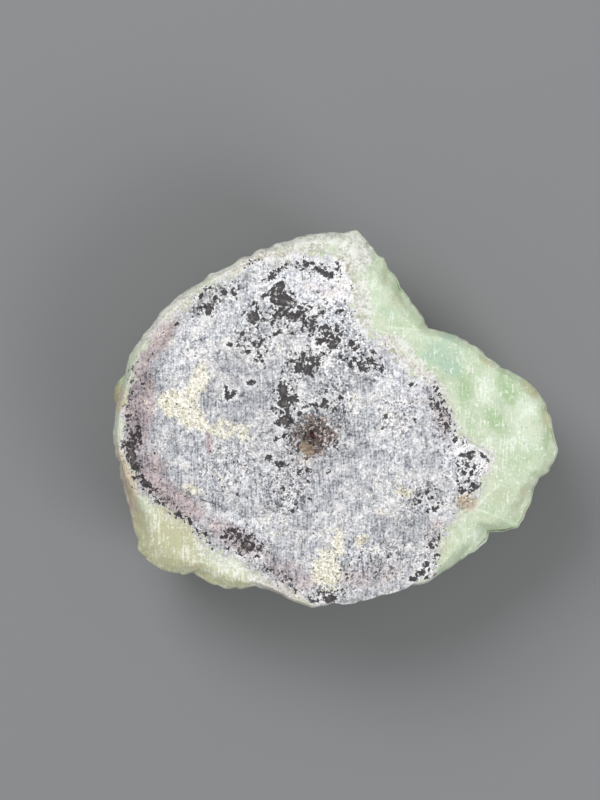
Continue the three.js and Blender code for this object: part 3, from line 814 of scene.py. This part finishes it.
def rock_surface():
    """Rows of the rock out over its sawn face, then down and in to a blunt end, the end first.

    With them come the same four numbers as for the crust.
    """
    angle = column_angles()[None, :]
    bare = bare_share(angle)
    rock_top, rim_top = rim_heights(angle)
    hidden = np.minimum(rock_reach(angle), silhouette(angle) - RIM_LIP)
    inside_crust = np.minimum(hidden, margin_edges(angle)[2] + 99 * bare)
    edge = mix(inside_crust, ragged_silhouette(angle, rim_top), bare)

    out = np.linspace(0, 1, FACE_ROWS + 1)[1:, None]
    radius = edge * out
    bevel_start = edge - 0.3 - BEVEL_WIDTH * bevel_share(angle)
    fall = smooth(0, 1, np.clip((radius - bevel_start) / (edge - bevel_start), 0, 1) * 0.5) * 2
    height = mix(FACE_HEIGHT, rock_top, fall)
    near_rim = bare * smooth(-1.6, 0, radius - edge)
    face = around(angle, radius, height - near_rim ** 1.5 * 0.7)
    inner = smooth(0, 0.4, edge - radius)
    x, y, _ = np.moveaxis(face, -1, 0)
    face[..., 2] += mix(face_relief(x, y), rock_relief(x, y), inner)

    down = np.linspace(0, 1, PLUG_ROWS + 1)[1:, None]
    top = face[-1:, :, 2]
    side_height = mix(top, FACE_HEIGHT - PLUG_DEPTH, down)
    flank = wall_radius(angle, side_height) + 0.12
    breaks = wall_breaks(around(angle, flank, side_height)) + 0.3
    flank = flank + 0.8 * breaks * smooth(0, 1.5, top - side_height)
    foot = bare_foot(angle)
    shown = bare * smooth(foot - 0.8, foot - 0.2, side_height)
    side_radius = mix(np.minimum(plug_radius(angle, side_height), edge), flank, shown)

    rows = np.concatenate((face, around(angle, side_radius, side_height)))
    sawn = np.concatenate((np.ones(face.shape[:2]), 0 * side_radius))
    none = np.zeros(sawn.shape)
    return rows[::-1], sawn[::-1], none, none, none


class Wire:
    """A node's output in arithmetic: an expression on wires and numbers adds its Math nodes."""

    def __init__(self, finish, socket):
        self.finish = finish
        self.socket = socket

    def math(self, operation, first, second=0.0):
        return self.finish.node("ShaderNodeMath", {"operation": operation}, {0: first, 1: second})

    def __add__(self, other):
        return self.math("ADD", self, other)

    def __radd__(self, other):
        return self.math("ADD", other, self)

    def __sub__(self, other):
        return self.math("SUBTRACT", self, other)

    def __rsub__(self, other):
        return self.math("SUBTRACT", other, self)

    def __mul__(self, other):
        return self.math("MULTIPLY", self, other)

    def __rmul__(self, other):
        return self.math("MULTIPLY", other, self)

    def most(self, other):
        return self.math("MAXIMUM", self, other)

    def least(self, other):
        return self.math("MINIMUM", self, other)

    def rise(self, low, high):
        """0 below low and 1 above high, eased between them. With low above high it falls instead."""
        settings = {"interpolation_type": "SMOOTHSTEP"}
        if low > high:
            return 1 - self.finish.node("ShaderNodeMapRange", settings, {0: self, 1: high, 2: low})
        return self.finish.node("ShaderNodeMapRange", settings, {0: self, 1: low, 2: high})


class Finish:
    """A material under construction, with the few kinds of node that these finishes share."""

    def __init__(self, name):
        self.look = bpy.context.scene.specimen_finish
        self.material = bpy.data.materials.new(name)
        self.material.use_nodes = True
        self.tree = self.material.node_tree
        self.tree.nodes.clear()
        place = self.node("ShaderNodeTexCoord", {}, {}, output="Object")
        scaled = {0: place, 1: (METRE,) * 3}
        self.place = self.node("ShaderNodeVectorMath", {"operation": "MULTIPLY"}, scaled)

    def node(self, kind, settings, sockets, output=0):
        """Adds a node: its settings first, then a value or a link for each socket, by index or name."""
        made = self.tree.nodes.new(kind)
        for key, value in settings.items():
            setattr(made, key, value)
        for key, value in sockets.items():
            if isinstance(value, Wire):
                self.tree.links.new(value.socket, made.inputs[key])
            else:
                made.inputs[key].default_value = value
        return Wire(self, made.outputs[output])

    def chosen(self, key):
        """One of the colours that a user can change."""
        return (*getattr(self.look, key), 1.0)

    def mark(self, label):
        """One of the numbers that the mesh carries."""
        return self.node("ShaderNodeAttribute", {"attribute_name": label}, {}, output="Fac")

    def noise(self, size, detail=2.0, roughness=0.55, stretch=(1, 1, 1), shift=(0, 0, 0), distortion=0.0):
        """Noise with features of about size millimetres, from 0 to 1 round a middle of 0.5."""
        where = self.place
        if stretch != (1, 1, 1) or shift != (0, 0, 0):
            moved = {"Vector": where, "Scale": stretch, "Location": shift}
            where = self.node("ShaderNodeMapping", {}, moved)
        grain = {"Detail": detail, "Roughness": roughness, "Distortion": distortion}
        return self.node("ShaderNodeTexNoise", {}, {"Vector": where, "Scale": 1 / size, **grain})

    def cells(self, size, bend=2.2):
        """A number from 0 to 1 for each of the angular cells, about size millimetres wide."""
        coarse = {"Vector": self.place, "Scale": 0.8 / size}
        warp = self.node("ShaderNodeTexNoise", {}, coarse, output="Color")
        bent = {0: warp, 1: (bend * size,) * 3, 2: self.place}
        where = self.node("ShaderNodeVectorMath", {"operation": "MULTIPLY_ADD"}, bent)
        return self.node("ShaderNodeTexVoronoi", {}, {"Vector": where, "Scale": 1 / size}, output="Color")

    def blend(self, first, second, share, mode="MIX"):
        """Second colour over the first by share."""
        settings = {"data_type": "RGBA", "blend_type": mode}
        return self.node("ShaderNodeMix", settings, {0: share, 6: first, 7: second}, output=2)

    def close(self, shader_sockets, bump_height, bump_distance, bump_strength):
        """Ends the material: a bump from a height in millimetres, the surface shader and the output."""
        relief = {"Strength": bump_strength, "Distance": bump_distance / METRE, "Height": bump_height}
        bump = self.node("ShaderNodeBump", {}, relief)
        shader = self.node("ShaderNodeBsdfPrincipled", {}, {**shader_sockets, "Normal": bump})
        output = self.tree.nodes.new("ShaderNodeOutputMaterial")
        self.tree.links.new(shader.socket, output.inputs["Surface"])
        return self.material


def colour(red, green, blue):
    """A colour given as it looks on a screen, 0 to 255, in the linear numbers that shaders use."""
    channels = [channel / 255 for channel in (red, green, blue)]
    linear = [c / 12.92 if c <= 0.04045 else ((c + 0.055) / 1.055) ** 2.4 for c in channels]
    return (*linear, 1.0)


def speckled_rock(f, fields):
    """Sawn basalt: angular crumbs on grey, a purple rind, cream crumbs, black grains with painted
    highlights, and the pit with painted light on its lining.

    The second result is 1 on a black grain, which the saw left a little lower.
    """
    fine, grit, medium, broad, stripes, chip, cell = fields
    white = f.mark("white")
    crowd = f.mark("crowd")
    dark = f.mark("dark")
    purple = f.mark("purple")
    busy = (crowd * 0.9 + white * 0.5 + (broad - 0.5) * 1.4 + 0.12).most(0.0).least(1.2)
    scored = (stripes - 0.5) * (broad.rise(0.62, 0.4) * 0.9 + 0.5)
    pepper = (fine - 0.5) * (busy * 1.4 + 1.1) + (grit - 0.5) * 0.8 + (medium - 0.5) * (busy * 1.3 + 1.0)
    crumbs = (chip - 0.5) * (busy * 0.6 + 0.18) + (cell - 0.5) * (busy * 0.4 + 0.1)
    zones = (broad - 0.5) * 0.9 + 0.45 + white * 0.28 - dark * 0.14 + purple * 0.04
    tone = pepper + crumbs + scored + zones
    base = f.blend(f.chosen("rock_dark"), f.chosen("rock_pale"), tone.most(0.0).least(1.0))
    bluish = (broad + (medium - 0.5) * 0.4).rise(0.56, 0.42)
    base = f.blend(base, colour(244, 248, 254), bluish * 0.7, "MULTIPLY")
    chips = (chip + (fine - 0.5) * 0.4).rise(0.68, 0.76) * busy.least(1.0)
    base = f.blend(base, colour(254, 253, 253), chips * 0.8)
    base = f.blend(base, colour(216, 214, 213), dark * 0.8, "MULTIPLY")

    rind = (purple + (medium - 0.5) * 0.9 + (broad - 0.5) * 0.9).rise(0.0, 1.0)
    base = f.blend(base, f.chosen("rind"), rind, "MULTIPLY")
    threads = f.noise(1.7, 3.0, 0.6, shift=(5, 2, 7), distortion=0.8) - 0.5
    threads = threads.math("ABSOLUTE", threads).rise(0.03, 0.0) * rind
    base = f.blend(base, colour(214, 204, 203), threads * 0.6)
    # Tan stains; on the left edge the same mark is a painted warm reflection and painted shade.
    tan_stain_and_painted_light = (f.mark("tan") + (medium - 0.5) * 1.2).rise(0.1, 0.9)
    base = f.blend(base, colour(228, 211, 184), tan_stain_and_painted_light, "MULTIPLY")

    cream = f.mark("cream") + (broad - 0.5) * 1.6 + (medium - 0.5) * 2.0 + (cell - 0.5) * 0.5
    bright = (chip * 0.6 + fine * 0.8).rise(0.5, 0.85)
    holes = f.noise(0.42, 2.0, 0.6, shift=(5, 1, 9)).rise(0.56, 0.66)
    crumb = f.blend(colour(206, 199, 172), colour(252, 250, 238), bright)
    crumb = f.blend(crumb, colour(122, 112, 88), holes)
    base = f.blend(base, crumb, cream.rise(0.2, 0.72) * 0.84)

    gather = (medium - 0.5) * 0.7 + (fine - 0.5) * 0.25
    specks = (cell - 0.98 + crowd * 0.33 + gather).rise(0.0, 0.03)
    dots = (chip - 0.96 + crowd * 0.24 + purple * 0.1 + gather).rise(0.0, 0.03)
    ragged = f.mark("grains") + (cell - 0.5) * 0.5 + (medium - 0.5) * 1.6 + (fine - 0.5) * 0.9
    base = f.blend(base, colour(252, 251, 250), ragged.rise(0.6, 0.25) * (0.4 - rind * 0.35))
    black = specks.most(dots).most(ragged.rise(0.06, -0.05) * (1 - chip.rise(0.24, 0.18) * 0.85))
    # Lighter spots inside the black grains are painted highlights.
    black_grain_highlight = f.mark("grains").rise(-0.28, -0.6) * (chip * 0.5 + fine).rise(0.62, 0.8)
    black_grain_highlight = black_grain_highlight.most((grit * 0.6 + fine * 0.6).rise(0.64, 0.78) * 0.3)
    black_tone = f.blend(f.chosen("grain"), colour(90, 83, 79), black_grain_highlight * 0.85)
    cracks = f.mark("crack").rise(0.5, 0.9) * fine.rise(0.4, 0.55)
    base = f.blend(base, black_tone, black.most(cracks) * 0.95)

    hollow = (f.mark("pit") * 0.9 + (medium - 0.5) * 3.0 + (cell - 0.5) * 0.8).rise(0.36, 0.46)
    hollow = hollow * f.mark("pit").rise(0.04, 0.2)
    # Painted light in the pit: paler crystal faces painted as lit, and painted highlights (glint), on the
    # dark lining.
    lit = (cell + (fine - 0.5) * 0.9).rise(0.34, 0.62)
    glint = (chip + (fine - 0.5) * 0.6).rise(0.7, 0.8)
    pit_lining_and_painted_light = f.blend(colour(40, 33, 33), colour(124, 110, 102), lit)
    pit_lining_and_painted_light = f.blend(pit_lining_and_painted_light, colour(228, 216, 214), glint * 0.85)
    base = f.blend(base, pit_lining_and_painted_light, hollow * 0.92)
    garnet = f.mark("garnet") + (cell - 0.5) * 0.4
    base = f.blend(base, colour(24, 16, 20), garnet.rise(0.1, 0.4) * 0.85)
    base = f.blend(base, colour(98, 30, 46), garnet.rise(0.6, 0.9) * 0.9)
    facets = (fine * 0.7 + medium * 0.6).rise(0.5, 0.78)
    crystal = f.blend(colour(112, 94, 82), colour(176, 160, 138), facets)
    edges = (f.mark("crystal") + (cell - 0.5) * 0.9).rise(0.4, 0.5)
    return f.blend(base, crystal, edges * 0.94), black


def clouded_prehnite(f, fields):
    """Sawn prehnite: pale green to blue green and straw, white clouds, streaks where the saw ran."""
    fine, grit, medium, broad, stripes, *_ = fields
    flat = 1 - f.mark("slope")
    streak = f.mark("streak")
    wisps = f.noise(2.8, 7.0, 0.7, shift=(8, 2, 4), distortion=1.2)
    drift = (broad - 0.5) * 1.3 + (wisps - 0.5) * 2.0 + (medium - 0.5) * 0.7
    base = f.blend(f.chosen("prehnite_pale"), f.chosen("prehnite_green"), drift * 1.15 + 0.45)
    teal = (f.mark("teal") * 0.9 + drift * 0.7).rise(0.1, 0.95)
    fresh = (f.mark("fresh") * 0.85 + drift * 0.6).rise(0.15, 1.0)
    straw = (f.mark("straw") * 0.95 - drift * 0.4).rise(0.15, 1.0)
    base = f.blend(base, colour(172, 199, 178), teal * 0.85)
    base = f.blend(base, colour(166, 193, 149), fresh * 0.85)
    base = f.blend(base, colour(190, 187, 150), straw * 0.85)
    cloud = f.mark("cloud") * 0.7 + (wisps - 0.5) * 3.2 + (medium - 0.5) * 0.8
    cloud = (cloud + (stripes - 0.5) * flat * 0.8).rise(0.05, 1.15)
    base = f.blend(base, f.chosen("cloud"), cloud * 0.86)
    scuff = f.mark("scuff") + (medium - 0.5) * 1.0 + (wisps - 0.5) * 1.2
    chalky = (fine * 0.8 + medium * 1.1 + wisps * 0.5).rise(0.95, 1.35)
    scuff_tone = f.blend(colour(180, 180, 172), colour(233, 234, 228), chalky)
    base = f.blend(base, scuff_tone, scuff.rise(0.2, 0.85) * 0.85)
    streaks = (stripes * 0.9 + fine * 0.5 + (wisps - 0.5) * 0.5 + streak * 0.16).rise(0.76, 0.9)
    base = f.blend(base, colour(243, 245, 235), streaks * flat.most(streak) * 0.6)
    flecks = f.noise(0.7, 3.0, 0.6, shift=(9, 9, 1)).rise(0.63, 0.68)
    base = f.blend(base, colour(250, 253, 246), flecks * 0.6)
    shade = f.blend(colour(138, 152, 118), colour(150, 150, 142), f.mark("scuff"))
    base = f.blend(base, shade, (fine * 0.6 + grit * 0.6 + medium * 0.4).rise(0.72, 0.62) * 0.35)
    vein = f.mark("vein").rise(0.15, 0.8) * medium.rise(0.35, 0.55)
    base = f.blend(base, colour(240, 243, 228), vein * 0.6)
    # Tan stains; on the left edge the same mark is a painted warm reflection and painted shade.
    tan = (f.mark("tan") + (medium - 0.5) * 1.3 + (wisps - 0.5) * 1.2).rise(0.15, 0.9)
    tan_tone = f.blend(colour(184, 158, 130), colour(214, 196, 168), wisps.rise(0.4, 0.6))
    return f.blend(base, tan_tone, tan * 0.85)


def sawn_face(f):
    """Colour of the whole sawn face, so that rock and prehnite meet along a ragged line on both pieces.

    Also the height of the saw's marks, and the noises that made them.
    """
    fine = f.noise(0.38, 2.0, 0.6)
    grit = f.noise(0.22, 1.0, 0.5, shift=(7, 3, 1))
    medium = f.noise(1.05, 4.0, 0.65, shift=(3, 9, 2))
    broad = f.noise(4.4, 4.0, 0.62, shift=(1, 4, 8))
    stripes = f.noise(1.0, 3.0, 0.62, stretch=(3.6, 0.32, 1))
    fields = (fine, grit, medium, broad, stripes, f.cells(0.38), f.cells(0.64))
    cell = fields[-1]
    rock, black = speckled_rock(f, fields)
    prehnite = clouded_prehnite(f, fields)
    edge = f.mark("edge") + (broad - 0.5) * 5.0 + (medium - 0.5) * 5.5
    edge = edge + (fine - 0.5) * 1.2 + (cell - 0.5) * 0.9
    scuff = f.mark("scuff")
    pale = edge.rise(2.2, 0.1) * medium.rise(0.38, 0.6) * (f.mark("white") * 0.4 + scuff * 0.5 + 0.1)
    rock = f.blend(rock, colour(244, 242, 236), pale * (1 - black))
    chalky = (medium * 0.6 + fine * 0.6).rise(0.46, 0.7)
    contact = f.blend(colour(168, 160, 132), colour(234, 231, 220), chalky)
    near = (f.mark("edge") + (medium - 0.5) * 4.0 + (broad - 0.5) * 5.0).rise(-2.0, -0.2)
    prehnite = f.blend(prehnite, contact, near * (scuff * 0.4 + 0.22))
    specks = (cell - 1.0 + f.mark("crowd") * 0.2 + (medium - 0.5) * 0.6).rise(0.0, 0.03) * near
    prehnite = f.blend(prehnite, colour(92, 82, 78), specks * 0.8)
    base = f.blend(prehnite, rock, edge.rise(-0.25, 0.15))
    height = fine * 0.35 + grit * 0.15 + medium * 0.35 + stripes * 0.5 - black * 0.25
    return base, height, fields


def broken_rock(f, fields):
    """Dull rough grey where the rock is broken, with black grains and pale crumbs."""
    fine, _, medium, broad, _, _, cell = fields
    tone = medium * 0.8 + broad * 0.5 + fine * 0.4 + (cell - 0.5) * 0.35
    base = f.blend(colour(96, 92, 92), colour(208, 204, 200), tone.rise(0.55, 1.1))
    base = f.blend(base, colour(176, 158, 128), broad.rise(0.54, 0.66) * 0.5)
    return f.blend(base, colour(46, 41, 42), (cell + (medium - 0.5) * 0.6).rise(0.84, 0.88) * 0.9)


def grown_prehnite(f, fields):
    """Glassy pale green lobes, each with a tint of its own, sugary on the backs, with painted shade
    darkening the creases.
    """
    fine, _, medium, broad, *_ = fields
    deep = f.noise(9.0, 3.0, 0.5, shift=(12, 4, 8))
    tint = f.mark("tint") * 0.5 + 0.5
    pale = broad * 0.8 + medium * 0.4 - 0.4 + tint * 0.55
    straw = (deep + (tint - 0.5) * 0.3).rise(0.48, 0.72)
    sugar = (fine * 0.4 + medium * 0.8 + (broad - 0.5) * 0.8).rise(0.68, 0.86)
    lobe = f.blend(f.chosen("lobe_green"), f.chosen("lobe_pale"), pale)
    lobe = f.blend(lobe, colour(184, 196, 134), straw * 0.7)
    lobe = f.blend(lobe, colour(238, 243, 230), sugar * 0.4)
    # Painted shade: the creases between lobes are darkened towards olive.
    crease = f.mark("crease") + (medium - 0.5) * 0.8
    lobe = f.blend(lobe, colour(142, 156, 104), crease.rise(0.3, 1.0) * 0.55)
    lobe = f.blend(lobe, colour(202, 190, 156), (broad + (medium - 0.5) * 0.3).rise(0.6, 0.74) * 0.3)
    # Tan stains; on the left edge the same mark is a painted warm reflection and painted shade.
    tan_stain_and_painted_light = f.mark("tan") + (medium - 0.5) * 1.1 + (broad - 0.5) * 0.8
    return f.blend(lobe, colour(166, 147, 108), tan_stain_and_painted_light.rise(0.2, 1.0) * 0.7)


def whole_colour(f):
    """Colour of either piece anywhere: sawn, broken or grown. Also the bump's height and the noises."""
    face, height, fields = sawn_face(f)
    _, _, medium, broad, *_ = fields
    bare = (f.mark("bare") + (medium - 0.5) * 5.0 + (broad - 0.5) * 9.0).rise(-0.15, 0.15)
    flank = f.blend(grown_prehnite(f, fields), broken_rock(f, fields), bare)
    sawn = (f.mark("sawn") + (medium - 0.5) * 0.9 + (broad - 0.5) * 1.1).rise(0.35, 0.65)
    return f.blend(flank, face, sawn), height, fields


def matrix_finish():
    """Altered basalt, dull all over."""
    f = Finish("altered_basalt")
    base, height, (fine, *_) = whole_colour(f)
    rough = (fine * 0.3 + 0.62).least(1.0)
    sockets = {"Base Color": base, "Roughness": rough, "IOR": 1.5, "Specular IOR Level": 0.35}
    return f.close(sockets, height, 0.12, 0.8)


def prehnite_finish():
    """Prehnite, which lets light in: glossier on the lobes than where the saw ran, with a painted
    highlight along the sawn face's outline.
    """
    f = Finish("prehnite")
    flat = 1 - f.mark("slope")
    base, height, (fine, _, medium, _, _, chip, cell) = whole_colour(f)
    druse = chip * 0.1 + cell * 0.16
    fibres = f.noise(1.4, 3.0, 0.65, stretch=(1, 1, 0.25))
    # A pale line along the outline of the sawn prehnite is a painted highlight on its edge.
    rim = f.mark("rim").rise(0.5, 0.1) * f.mark("sawn") * medium.rise(0.44, 0.58)
    base = f.blend(base, colour(236, 238, 224), rim * 0.55)
    sockets = {
        "Base Color": base,
        "Roughness": 0.22 + flat * 0.25 + (fine - 0.5) * 0.25,
        "IOR": 1.62,
        "Specular IOR Level": 0.5,
        "Subsurface Weight": 0.45,
        "Subsurface Radius": (1.0, 1.15, 0.85),
        "Subsurface Scale": 0.0022,
    }
    grown = fine * 0.2 + medium * 0.3 + fibres * 0.2 + druse
    return f.close(sockets, height * flat + grown * (1 - flat), 0.12, 0.7)


def place_marks(rows, sawn, slope, crease, tint):
    """The numbers that a piece's mesh carries for its finish, most of them by the place in plan."""
    x = rows[..., 0]
    y = rows[..., 1]
    marks = {
        "sawn": sawn,
        "crease": crease,
        "edge": np.clip(edge_distance(x, y, ROCK_EDGE), -8, 8),
        "rim": np.clip(edge_distance(x, y, OUTLINE), -1, 8),
        "grains": nearest_spot(x, y, BLACK_GRAINS),
        "pit": 1 - smooth(0.3, 1.7, spot_share(x, y, PIT_CRUST)),
        "bare": np.clip(bare_reach(rows), -3, 3),
        "slope": slope,
        "tint": tint,
        "garnet": 1 - smooth(0.3, 1.4, spot_share(x, y, DARK_RED)),
        "crystal": 1 - smooth(0.6, 1.2, spot_share(x, y, TAN_CRYSTAL)),
        "vein": crack_depth(x, y, VEINS),
        "crack": crack_depth(x, y, CRACKS) * 3,
    }
    for label, spots in SOFT_ZONES.items():
        marks[label] = soft_spots(x, y, spots)
    return marks


def colour_setting(name, description, *screen):
    """A colour that a user can change, given as it looks on a screen."""
    return FloatVectorProperty(
        name=name, description=description, default=colour(*screen)[:3], subtype="COLOR", min=0, max=1,
    )


class FinishSettings(bpy.types.PropertyGroup):
    """Main colours of the rock and the prehnite."""

    rock_dark: colour_setting("Dark rock", "Darkest grey of the sawn rock", 98, 99, 103)
    rock_pale: colour_setting("Pale rock", "Lightest grey of the sawn rock", 246, 246, 248)
    rind: colour_setting("Rind", "What the purple rind multiplies the grey by", 220, 202, 202)
    grain: colour_setting("Grains", "The black grains in the rock", 36, 32, 36)
    prehnite_pale: colour_setting("Pale prehnite", "Sawn prehnite at its palest", 212, 220, 199)
    prehnite_green: colour_setting("Green prehnite", "Sawn prehnite at its greenest", 172, 197, 155)
    cloud: colour_setting("Clouds", "The white clouds in the sawn prehnite", 234, 242, 229)
    lobe_green: colour_setting("Green lobes", "The greenest of the grown lobes", 164, 195, 144)
    lobe_pale: colour_setting("Pale lobes", "The palest of the grown lobes", 210, 226, 195)


class CrustSettings(bpy.types.PropertyGroup):
    """Sizes of the crust's finer lobes."""

    small_lobe_count: IntProperty(
        name="Small lobes", description="How many places for small lobes there are", default=560, min=0,
    )
    small_lobe_radius: FloatProperty(
        name="Small lobe radius", description="Middle radius of a small lobe", default=0.0023,
        unit="LENGTH",
    )
    crease_rounding: FloatProperty(
        name="Crease rounding", description="How softly two lobes meet", default=0.00036, unit="LENGTH",
    )


class StageSettings(bpy.types.PropertyGroup):
    """The plain studio."""

    floor_colour: colour_setting("Floor", "Colour of the floor", 128, 129, 131)
    camera_height: FloatProperty(
        name="Camera height", description="Camera above the sawn face", default=0.9, unit="LENGTH",
    )
    view_height: FloatProperty(
        name="View height", description="Height of the picture at the sawn face", default=0.136,
        unit="LENGTH",
    )
    view_centre: FloatVectorProperty(
        name="View centre", description="What the camera looks at on the sawn face, across and up",
        default=(-0.0058, 0.0033), size=2, subtype="TRANSLATION",
    )


class SPECIMEN_OT_crust(bpy.types.Operator):
    """Grow the prehnite crust round its socket"""

    bl_idname = "specimen.crust"
    bl_label = "Prehnite crust"

    def execute(self, context):
        rows, *shares = crust_surface(context.scene.specimen_crust)
        piece = grid_mesh("crust", rows, place_marks(rows, *shares))
        piece.data.materials.append(prehnite_finish())
        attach(piece, "root")
        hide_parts("prehnite_crust")
        return {"FINISHED"}


class SPECIMEN_OT_rock(bpy.types.Operator):
    """Set the sawn plug of altered basalt in the crust"""

    bl_idname = "specimen.rock"
    bl_label = "Basalt plug"

    def execute(self, context):
        rows, *shares = rock_surface()
        piece = grid_mesh("rock", rows, place_marks(rows, *shares))
        piece.data.materials.append(matrix_finish())
        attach(piece, "root")
        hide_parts("matrix")
        return {"FINISHED"}


def area_light(name, place, target, size, power):
    """A square soft light at a place, in metres, turned to its target."""
    light = bpy.data.lights.new(name, "AREA")
    light.shape = "SQUARE"
    light.size = size
    light.energy = power
    lamp = bpy.data.objects.new(name, light)
    lamp.location = place
    aim = np.subtract(target, place)
    lamp.rotation_euler = (
        math.atan2(math.hypot(aim[0], aim[1]), -aim[2]), 0, math.atan2(aim[1], aim[0]) - math.pi / 2
    )
    bpy.context.scene.collection.objects.link(lamp)


class SPECIMEN_OT_stage(bpy.types.Operator):
    """Set up the camera, the pale floor and the soft light"""

    bl_idname = "specimen.stage"
    bl_label = "Studio"

    def execute(self, context):
        scene = context.scene
        look = scene.specimen_stage
        face = FACE_HEIGHT / METRE
        camera_data = bpy.data.cameras.new("camera")
        camera_data.sensor_fit = "VERTICAL"
        camera_data.sensor_height = 36
        camera_data.lens = camera_data.sensor_height * look.camera_height / look.view_height
        camera_data.clip_start = 0.01
        camera = bpy.data.objects.new("camera", camera_data)
        camera.location = (look.view_centre[0], look.view_centre[1], face + look.camera_height)
        scene.collection.objects.link(camera)
        scene.camera = camera

        bpy.ops.mesh.primitive_circle_add(vertices=96, radius=2.5, fill_type="NGON")
        floor = context.active_object
        floor.name = "floor"
        f = Finish("floor")
        tone = f.noise(60.0, 2.0, 0.5)
        light = [channel * 1.02 for channel in look.floor_colour]
        dim = [channel * 0.98 for channel in look.floor_colour]
        base = f.blend((*dim, 1), (*light, 1), tone)
        floor.data.materials.append(f.close({"Base Color": base, "Roughness": 0.7}, tone, 0.01, 0.1))

        world = bpy.data.worlds.new("studio")
        scene.world = world
        world.use_nodes = True
        background = world.node_tree.nodes["Background"]
        background.inputs["Color"].default_value = colour(228, 228, 229)
        background.inputs["Strength"].default_value = 0.6
        target = (0, 0, face)
        area_light("key", (-0.35, 0.45, 0.75), target, 0.5, 5.0)
        area_light("fill", (0.5, -0.4, 0.62), target, 0.5, 3.0)
        scene.view_settings.view_transform = "Standard"
        return {"FINISHED"}


class SPECIMEN_PT_panel(bpy.types.Panel):
    """The specimen's operators and settings"""

    bl_label = "Prehnite specimen"
    bl_idname = "SPECIMEN_PT_panel"
    bl_space_type = "VIEW_3D"
    bl_region_type = "UI"
    bl_category = "Prehnite"

    def draw(self, context):
        for step in STEPS:
            self.layout.operator(step.bl_idname)
        scene = context.scene
        for settings in (scene.specimen_finish, scene.specimen_crust, scene.specimen_stage):
            for key in settings.__annotations__:
                self.layout.prop(settings, key)


STEPS = (SPECIMEN_OT_stage, SPECIMEN_OT_crust, SPECIMEN_OT_rock)
CLASSES = (FinishSettings, CrustSettings, StageSettings, *STEPS, SPECIMEN_PT_panel)


def register():
    for cls in CLASSES:
        bpy.utils.register_class(cls)
    bpy.types.Scene.specimen_finish = PointerProperty(type=FinishSettings)
    bpy.types.Scene.specimen_crust = PointerProperty(type=CrustSettings)
    bpy.types.Scene.specimen_stage = PointerProperty(type=StageSettings)


def unregister():
    del bpy.types.Scene.specimen_stage
    del bpy.types.Scene.specimen_crust
    del bpy.types.Scene.specimen_finish
    for cls in reversed(CLASSES):
        bpy.utils.unregister_class(cls)


def main():
    register()
    bpy.ops.specimen.stage()
    bpy.ops.specimen.crust()
    bpy.ops.specimen.rock()


if __name__ == "__main__":
    main()
